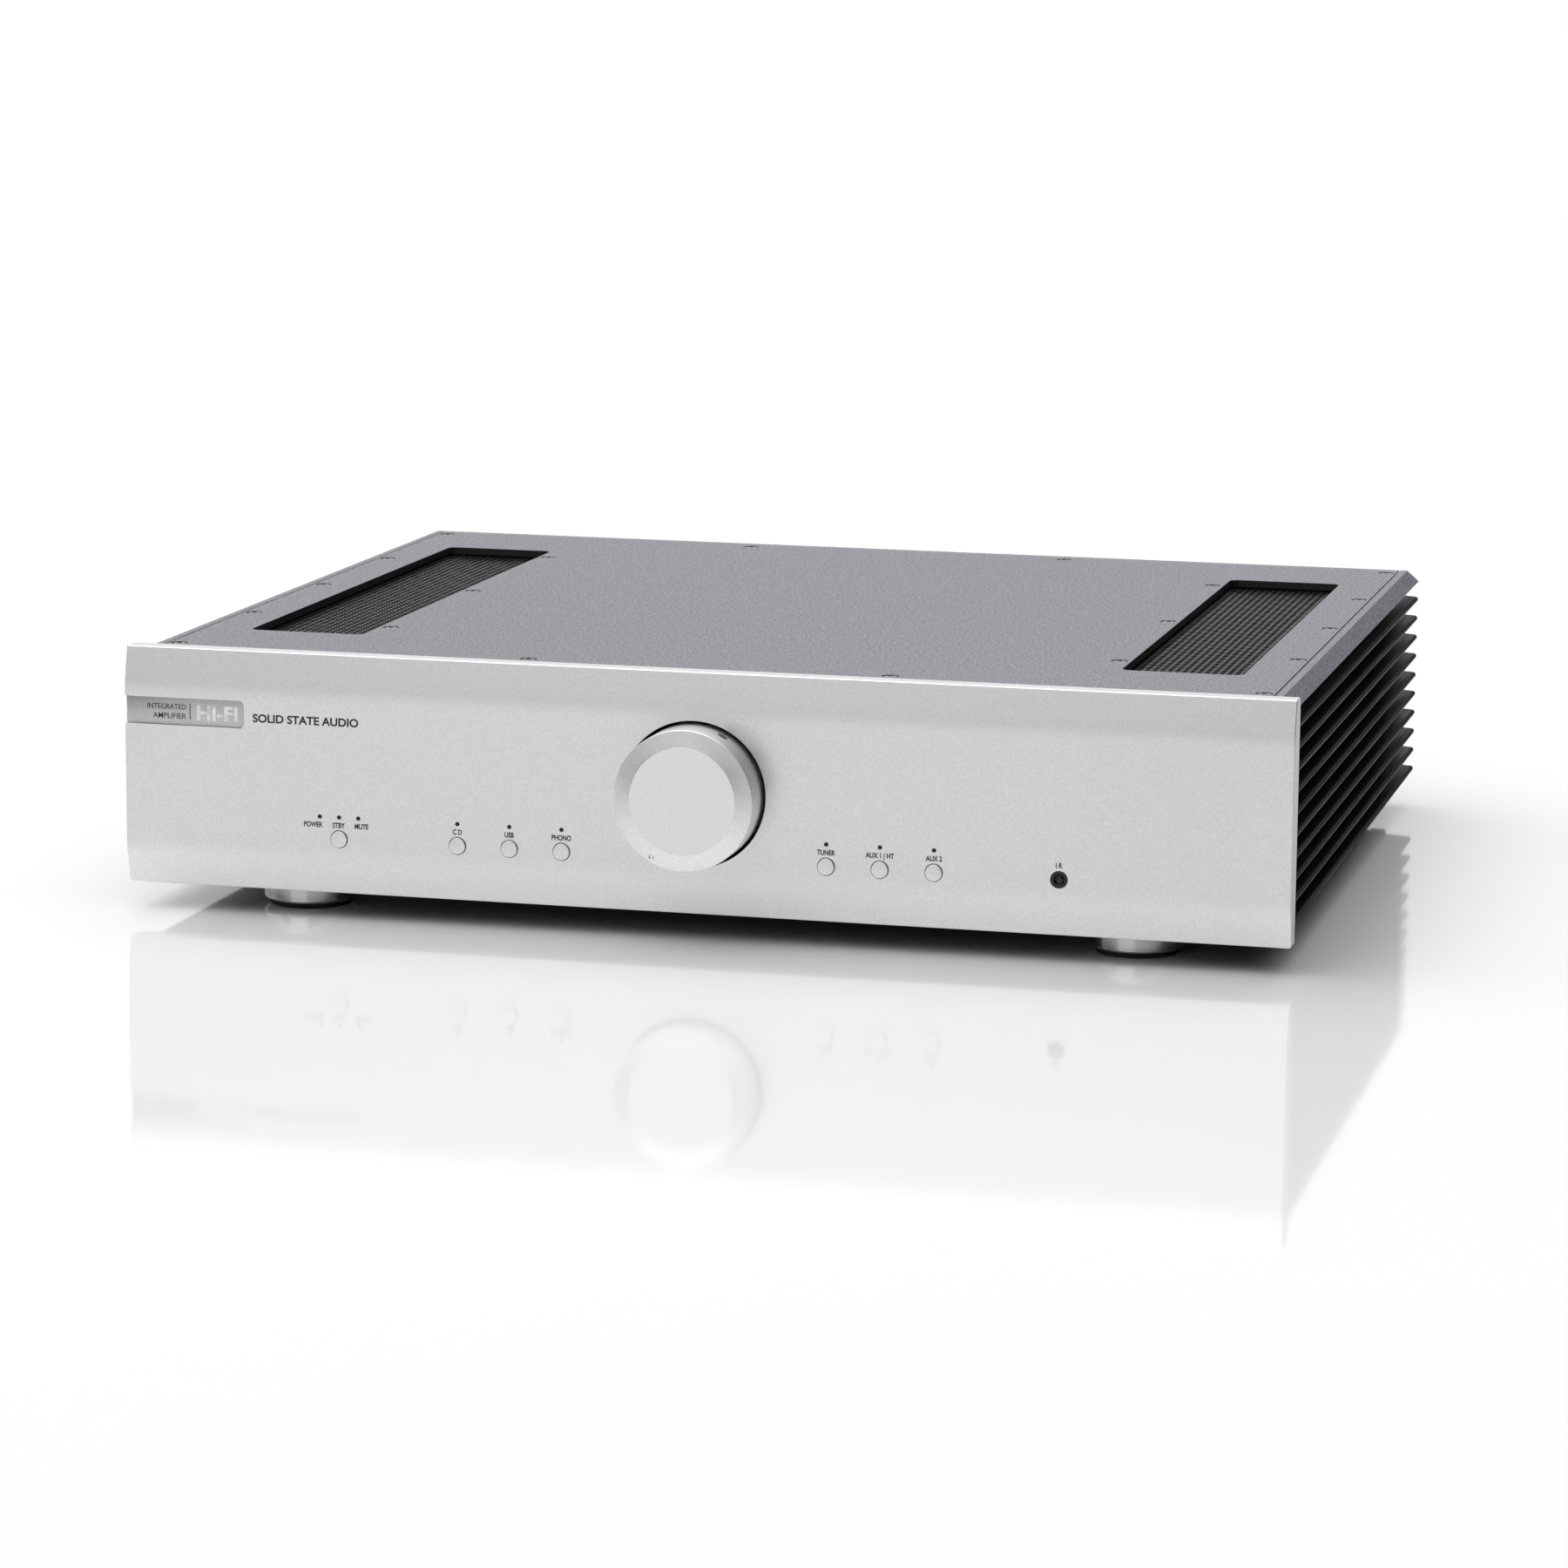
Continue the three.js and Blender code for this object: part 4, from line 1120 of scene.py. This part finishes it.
def ground_terminal():
    low, high = span("ground_nut")
    at = (centre("ground_nut").x, centre("ground_nut").z)
    grip = [
        (2.3, low.y, 0), (5.1, low.y, 0), (5.5, low.y + 0.4, 1), (5.5, high.y - 0.6, 1),
        (5.0, high.y, 0), (2.3, high.y, 0),
    ]
    shape = fluted(grip, at, 24, 0.3, 6)
    make("ground_nut_grip", shape, GOLD, "ground_nut", ["ground_nut"], smooth_below=40)
    post_low, post_high = span("ground_post")
    washer = [(2, SEAT_Y), (5, SEAT_Y), (5, SEAT_Y + 1), (4.8, SEAT_Y + 1.2), (2, SEAT_Y + 1.2)]
    shapes = [
        turned(threaded_stem(post_low.y, post_high.y), "Y", at, 32),
        turned(washer, "Y", at, 40, ring=True),
        rod(4, "Y", at, REAR_Y - 6, REAR_Y - 2.2, 6),
    ]
    make("ground_post_stud", merged(*shapes), GOLD, replaces=["ground_post"])


INLET_X = centre("mains_inlet").x
INLET_Z = span("mains_inlet")[0].z + 17
INLET_SCREW_X = (INLET_X - 20, INLET_X + 20)


def cross_outline(x, z, arm, half):
    """Outline of a cross-head recess."""
    quarter = [(half, half), (half, arm), (-half, arm)]
    points = []
    for _ in range(4):
        points += quarter
        quarter = [(-b, a) for a, b in quarter]
    return [(x + a, z + b) for a, b in points]


def inlet_flange():
    x, z = INLET_X, INLET_Z
    return [
        (x - 25, z - 2.5), (x - 17, z - 17), (x + 17, z - 17), (x + 25, z - 2.5),
        (x + 25, z + 2.5), (x + 17, z + 14), (x - 17, z + 14), (x - 25, z + 2.5),
    ]


def inlet_mouth():
    x, z = INLET_X, INLET_Z
    half, shoulder = 12.1, 7.6
    return [
        (x - half, z - 6.3), (x + half, z - 6.3), (x + half, z + 5.8),
        (x + shoulder, z + 10.3), (x - shoulder, z + 10.3), (x - half, z + 5.8),
    ]


def mains_inlet():
    low, high = span("mains_inlet")
    x, z = INLET_X, INLET_Z
    face = high.y
    inlet = raw_object("mains_inlet_body", prism(inlet_flange(), "Y", SEAT_Y, face))
    combine(inlet, block(x - 14, x + 14, low.y, face - 0.5, z - 15.8, z + 12), "UNION")
    drawer_low, drawer_high = span("fuse_drawer")
    slot = block(
        drawer_low.x - 0.4, drawer_high.x + 0.4, 154, face + 1, drawer_low.z - 0.3, drawer_high.z + 0.3
    )
    holes = [rod(1.7, "Y", (screw_x, z), REAR_Y - 1, face + 1, 32) for screw_x in INLET_SCREW_X]
    combine(inlet, merged(prism(inlet_mouth(), "Y", 159, face + 1), slot, *holes), "DIFFERENCE")
    soften(inlet, 0.25)
    finished(inlet, PLASTIC_BLACK, replaces=["mains_inlet"], smooth_below=25)
    blades = []
    for bx, bz in ((x - 7, z), (x + 7, z), (x, z + 4)):
        blades.append(prism(rounded(bx - 1, bx + 1, bz - 2, bz + 2, 0.4, 4), "Y", 158, face - 2.5))
    make("mains_inlet_blades", merged(*blades), STEEL, edge=0.2)


def inlet_screws():
    face = span("mains_inlet")[1].y
    head = [
        (0, face - 0.9), (1.55, face - 0.9), (1.55, face + 0.1), (2.9, face + 0.15), (2.7, face + 0.7),
        (1.6, face + 1.15), (0, face + 1.25),
    ]
    heads = [turned(head, "Y", (x, INLET_Z), 40) for x in INLET_SCREW_X]
    screws = raw_object("mains_inlet_screws", merged(*heads))
    outlines = [cross_outline(x, INLET_Z, 1.5, 0.32) for x in INLET_SCREW_X]
    crosses = [prism(outline, "Y", face + 0.5, face + 3) for outline in outlines]
    combine(screws, merged(*crosses), "DIFFERENCE")
    finished(screws, STEEL, smooth_below=30)


def bar_along_x(radius, x0, x1, at, sides=40):
    verts, faces = rod(radius, "Z", (0, 0), x0, x1, sides)
    return [(c, a + at.y, b + at.z) for a, b, c in verts], faces


FUSE_RADIUS = 2.5
FUSE_CAP = 5


def fuse_drawer():
    low, high = span("fuse_drawer")
    tray = raw_object("fuse_drawer_tray", block(low.x, high.x, low.y, high.y, low.z, high.z))
    fuse = centre("mains_fuse")
    trough = block(low.x + 0.6, high.x - 0.6, fuse.y - 3, fuse.y + 3, low.z + 0.7, high.z + 1)
    middle = (low.x + high.x) / 2
    grip = block(middle - 5, middle + 5, high.y - 0.5, high.y + 1, high.z - 1.2, high.z + 1)
    combine(tray, merged(trough, grip), "DIFFERENCE")
    soften(tray, 0.2)
    finished(tray, PLASTIC_BLACK, "fuse_drawer", ["fuse_drawer"], 25)
    x0, x1 = span("mains_fuse")[0].x, span("mains_fuse")[1].x
    tube = bar_along_x(FUSE_RADIUS - 0.15, x0 + FUSE_CAP - 0.5, x1 - FUSE_CAP + 0.5, fuse)
    make("mains_fuse_tube", tube, GLASS, "fuse_drawer", ["mains_fuse"])
    ends = ((x0, x0 + FUSE_CAP), (x1 - FUSE_CAP, x1))
    caps = [bar_along_x(FUSE_RADIUS, start, end, fuse) for start, end in ends]
    make("mains_fuse_caps", merged(*caps), STEEL, "fuse_drawer", edge=0.2)


ROCKER_TILT = math.radians(10)
ROCKER_PIVOT = Vector(next(j for j in frame["joints"] if j["name"] == "rocker_tilt")["pos_m"]) / MM
ROCKER_HALF_HEIGHT = 11
MARK_PLACE = 6.2  # along the rocker's face, from its middle


def rocker_face(along):
    """How far the rocker's hollow face stands out from the pivot."""
    return 6.2 + 1.8 * (along / ROCKER_HALF_HEIGHT) ** 2


def tilted(out, along):
    """A place on the rocker at rest, as (y, z)."""
    y = ROCKER_PIVOT.y + out * math.cos(ROCKER_TILT) - along * math.sin(ROCKER_TILT)
    z = ROCKER_PIVOT.z + out * math.sin(ROCKER_TILT) + along * math.cos(ROCKER_TILT)
    return y, z


def rocker_housing():
    low, high = span("rocker_housing")
    x, y, z = ROCKER_PIVOT
    collar = prism(rounded(low.x, high.x, low.z, high.z, 1.2), "Y", SEAT_Y, high.y)
    housing = raw_object("rocker_housing_body", collar)
    box = block(low.x + 2, high.x - 2, low.y, high.y - 0.5, low.z + 2, high.z - 2)
    combine(housing, box, "UNION")
    pit = block(x - 7.2, x + 7.2, y - 5, high.y + 1, z - 12.7, z + 12.7)
    combine(housing, pit, "DIFFERENCE")
    combine(housing, bar_along_x(1.7, x - 9.2, x + 9.2, ROCKER_PIVOT), "DIFFERENCE")
    soften(housing, 0.3)
    finished(housing, PLASTIC_BLACK, replaces=["rocker_housing"], smooth_below=25)


def mains_rocker():
    x = ROCKER_PIVOT.x
    steps = 12
    places = [ROCKER_HALF_HEIGHT * (2 * i / steps - 1) for i in range(steps + 1)]
    section = [*((rocker_face(t), t) for t in places), (2, 10.2), (-2.5, 0), (2, -10.2)]
    outline = [tilted(out, along) for out, along in section]
    paddle = raw_object("mains_rocker_paddle", prism(outline, "X", x - 6.8, x + 6.8))
    soften(paddle, 0.35, 3)
    finished(paddle, PLASTIC_BLACK, "mains_rocker", ["mains_rocker"], 30)
    pin = bar_along_x(1.5, x - 8.9, x + 8.9, ROCKER_PIVOT)
    make("mains_rocker_pin", pin, STEEL, "mains_rocker")


def rocker_marks():
    """The bar and the ring printed on the rocker."""
    top = rocker_face(MARK_PLACE)
    bar = block(-0.35, 0.35, top - 0.3, top + 0.03, MARK_PLACE - 1.9, MARK_PLACE + 1.9)
    section = [(1.3, top - 0.3), (1.9, top - 0.3), (1.9, top + 0.1), (1.3, top + 0.1)]
    ring = turned(section, "Y", (0, -MARK_PLACE), 32, ring=True)
    marks = []
    for verts, faces in (bar, ring):
        marks.append(([(ROCKER_PIVOT.x + a, *tilted(b, c)) for a, b, c in verts], faces))
    make("mains_rocker_marks", merged(*marks), PLASTIC_WHITE, "mains_rocker")


def rear_panel():
    low, high = span("rear_panel")
    outline = rounded(low.x, high.x, low.z, high.z, 0.8, 4)
    panel = raw_object("rear_panel_plate", prism(outline, "Y", low.y, high.y))
    y0, y1 = low.y - 1, high.y + 1
    tools = []
    for number in (1, 2, 3):
        tools += [rod(4.65, "Y", at, y0, y1, 48) for at, _ in socket_places(number)]
    for hand in ("left", "right"):
        tools += [rod(5.3, "Y", at, y0, y1, 32) for at in terminal_places(hand)]
    data_low, data_high = span("data_socket")
    tools.append(block(data_low.x - 0.3, data_high.x + 0.3, y0, y1, data_low.z - 0.3, data_high.z + 0.3))
    ground = centre("ground_nut")
    tools.append(rod(2.4, "Y", (ground.x, ground.z), y0, y1, 32))
    tools.append(block(INLET_X - 14.3, INLET_X + 14.3, y0, y1, INLET_Z - 16.1, INLET_Z + 12.3))
    rocker = centre("rocker_housing")
    tools.append(block(rocker.x - 11.3, rocker.x + 11.3, y0, y1, rocker.z - 15.3, rocker.z + 15.3))
    combine(panel, merged(*tools), "DIFFERENCE")
    soften(panel, 0.15)
    finished(panel, STEEL_BLACK_AND_SHADE, replaces=["rear_panel"], smooth_below=20)


REAR_SCREW_XS = (-194, -130, -78, -17, 45, 110, 194)
REAR_SCREW_ZS = (17, 91)


def rear_screws():
    heads, crosses = [], []
    y = REAR_Y
    head = [(0, y - 0.2), (2.6, y - 0.2), (2.75, y + 0.1), (2.5, y + 0.8), (1.6, y + 1.35), (0, y + 1.5)]
    for x in REAR_SCREW_XS:
        for z in REAR_SCREW_ZS:
            heads.append(turned(head, "Y", (x, z), 40))
            crosses.append(prism(cross_outline(x, z, 1.45, 0.3), "Y", y + 0.6, y + 3))
    screws = raw_object("rear_screws", merged(*heads))
    combine(screws, merged(*crosses), "DIFFERENCE")
    finished(screws, SCREW, smooth_below=30)


SOCKET_LABELS = {1: ("PHONO", "CD"), 2: ("TUNER", "AUX 1"), 3: ("AUX 2", "PRE OUT")}
SMALL_LABEL = 2.0


def rear_labels():
    shapes = []

    def put(text, x, z, height=2.2):
        shapes.append(written(text, x, z, height, REAR_Y, "centre", 0.85, facing=1))

    for number, pair in SOCKET_LABELS.items():
        middle = centre(f"socket_block_{number}")
        for text, side in zip(pair, (0.5, -0.5)):
            put(text, middle.x + side * SOCKET_PITCH[0], middle.z + 17.5, SMALL_LABEL)
        put("L", middle.x, middle.z + SOCKET_PITCH[1] / 2, SMALL_LABEL)
        put("R", middle.x, middle.z - SOCKET_PITCH[1] / 2, SMALL_LABEL)
    data = centre("data_socket")
    put("USB", data.x, data.z + 9)
    ground = centre("ground_nut")
    put("GROUND", ground.x - 15, ground.z, SMALL_LABEL)
    for hand, text in (("left", "RIGHT"), ("right", "LEFT")):
        middle = centre(f"speaker_terminal_{hand}")
        put(text, middle.x, middle.z + 17)
        put("-", middle.x - TERMINAL_HALF_PITCH, middle.z - 16, 3)
        put("+", middle.x + TERMINAL_HALF_PITCH, middle.z - 16, 3)
    terminals_x = (centre("speaker_terminal_left").x + centre("speaker_terminal_right").x) / 2
    put("SPEAKERS", terminals_x, 83, 2.6)
    rocker = centre("rocker_housing")
    put("POWER", rocker.x, rocker.z + 21)
    put("AC INPUT", INLET_X, 74)
    lettering("rear_labels", shapes, INK_LIGHT)


# ---- stage, light and camera ----

FLOOR_HALF = 30000
WORLD_TOP = 1.95
WORLD_FRONT_LOW = 0.0
WORLD_BACK = 1.0
WORLD_BACK_HIGH = 0.42
WORLD_BACK_RIGHT = 0.12
WORLD_DARK_SIDE = (0.95, -0.15, 0.0)
WORLD_DARK_SHARE = 0.2
WORLD_BRIGHT_SIDE = (-0.6, 0.8, 0.0)
DOME_RISE = (0.42, 0.75)  # heights of a unit direction over which the ceiling comes in
HORIZON_FALL = (0.15, 0.5)
DARK_RISE = (-0.1, 0.8)
BRIGHT_RISE = (0.1, 0.65)
RIGHT_FALL = (-0.08, 0.22)
CARD_LIGHT = 10.5
CARD_PLACE = (-0.75, -3.0, 1.0)
CARD_TARGET = (0, 0, 0.05)
CARD_SIZE = (2.4, 2.2)
CAMERA_PLACE = (0.4798, -1.9715, 0.3919)
CAMERA_AZIMUTH = math.radians(14.002)
CAMERA_ELEVATION = math.radians(10.184)
CAMERA_ROLL = math.radians(0.485)
CAMERA_LENS = 118.56
CAMERA_SENSOR = 36


def stage():
    h = FLOOR_HALF
    corners = [(-h, -h, 0), (h, -h, 0), (h, h, 0), (-h, h, 0)]
    floor = raw_object("floor", (corners, [(0, 1, 2, 3)]))
    nodes = Nodes("floor_gloss", (0.94, 0.94, 0.94), 0.06)
    haze = nodes.noise(3.0, 2.0)
    nodes.rough(haze, 0.05, 0.075)
    floor.data.materials.append(nodes.material)


def front_card():
    """A soft light that only shows as a sheen on gloss and metal."""
    data = bpy.data.lights.new("front_card", "AREA")
    data.shape = "RECTANGLE"
    data.size, data.size_y = CARD_SIZE
    data.energy = CARD_LIGHT
    data.diffuse_factor = 0.0
    light = bpy.data.objects.new("front_card", data)
    light.visible_camera = False
    light.location = CARD_PLACE
    direction = Vector(CARD_TARGET) - Vector(CARD_PLACE)
    light.rotation_euler = direction.to_track_quat("-Z", "Y").to_euler()
    bpy.context.scene.collection.objects.link(light)


def ramp(tree, value, start_end, results):
    """Goes smoothly between two results while a value goes from its start to its end."""
    node = tree.nodes.new("ShaderNodeMapRange")
    node.interpolation_type = "SMOOTHSTEP"
    tree.links.new(value, node.inputs["Value"])
    node.inputs["From Min"].default_value, node.inputs["From Max"].default_value = start_end
    node.inputs["To Min"].default_value, node.inputs["To Max"].default_value = results
    return node.outputs["Result"]


def calculated(tree, operation, a, b):
    node = tree.nodes.new("ShaderNodeMath")
    node.operation = operation
    tree.links.new(a, node.inputs[0])
    tree.links.new(b, node.inputs[1])
    return node.outputs["Value"]


def toward(tree, direction, side):
    """How far a direction points to a side, from -1 to 1."""
    node = tree.nodes.new("ShaderNodeVectorMath")
    node.operation = "DOT_PRODUCT"
    tree.links.new(direction, node.inputs[0])
    node.inputs[1].default_value = Vector(side).normalized()
    return node.outputs["Value"]


def studio_world():
    """A white ceiling that darkens to the right, and a bright wall behind and to the left."""
    world = bpy.data.worlds.new("studio")
    world.use_nodes = True
    bpy.context.scene.world = world
    tree = world.node_tree
    background = tree.nodes["Background"]
    background.inputs["Color"].default_value = (1.0, 1.0, 1.0, 1)
    direction = tree.nodes.new("ShaderNodeTexCoord").outputs["Generated"]
    parts = tree.nodes.new("ShaderNodeSeparateXYZ")
    tree.links.new(direction, parts.inputs["Vector"])
    height, right = parts.outputs["Z"], parts.outputs["X"]
    dome = ramp(tree, height, DOME_RISE, (WORLD_FRONT_LOW, WORLD_TOP))
    dark_side = toward(tree, direction, WORLD_DARK_SIDE)
    dome = calculated(tree, "MULTIPLY", dome, ramp(tree, dark_side, DARK_RISE, (1.0, WORLD_DARK_SHARE)))
    back = ramp(tree, height, HORIZON_FALL, (WORLD_BACK, WORLD_BACK_HIGH))
    bright_side = toward(tree, direction, WORLD_BRIGHT_SIDE)
    back = calculated(tree, "MULTIPLY", back, ramp(tree, bright_side, BRIGHT_RISE, (0.0, 1.0)))
    back = calculated(tree, "MULTIPLY", back, ramp(tree, right, RIGHT_FALL, (1.0, WORLD_BACK_RIGHT)))
    total = calculated(tree, "MAXIMUM", dome, back)
    tree.links.new(total, background.inputs["Strength"])


def camera():
    data = bpy.data.cameras.new("camera")
    data.lens = CAMERA_LENS
    data.sensor_width = CAMERA_SENSOR
    data.clip_start = 0.05
    data.clip_end = 200
    az, el = CAMERA_AZIMUTH, CAMERA_ELEVATION
    back = Vector((math.sin(az) * math.cos(el), -math.cos(az) * math.cos(el), math.sin(el)))
    right = Vector((math.cos(az), math.sin(az), 0))
    up = back.cross(right)
    turned_right = right * math.cos(CAMERA_ROLL) + up * math.sin(CAMERA_ROLL)
    turned_up = up * math.cos(CAMERA_ROLL) - right * math.sin(CAMERA_ROLL)
    place = Matrix.Identity(4)
    for column, axis in enumerate((turned_right, turned_up, back)):
        for row in range(3):
            place[row][column] = axis[row]
    for row in range(3):
        place[row][3] = CAMERA_PLACE[row]
    view = bpy.data.objects.new("camera", data)
    view.matrix_world = place
    bpy.context.scene.collection.objects.link(view)
    bpy.context.scene.camera = view
    bpy.context.scene.view_settings.view_transform = "Standard"


def build():
    finish_cad_nodes()
    front_panel()
    badge()
    front_labels()
    buttons()
    light_pipes()
    receiver_window()
    volume_knob()
    top_cover()
    cover_screws()
    vent_meshes()
    heatsinks()
    feet()
    rear_panel()
    rear_screws()
    phono_sockets()
    data_socket()
    binding_nuts()
    speaker_terminals()
    ground_terminal()
    mains_inlet()
    inlet_screws()
    fuse_drawer()
    rocker_housing()
    mains_rocker()
    rocker_marks()
    rear_labels()
    stage()
    studio_world()
    front_card()
    camera()


build()
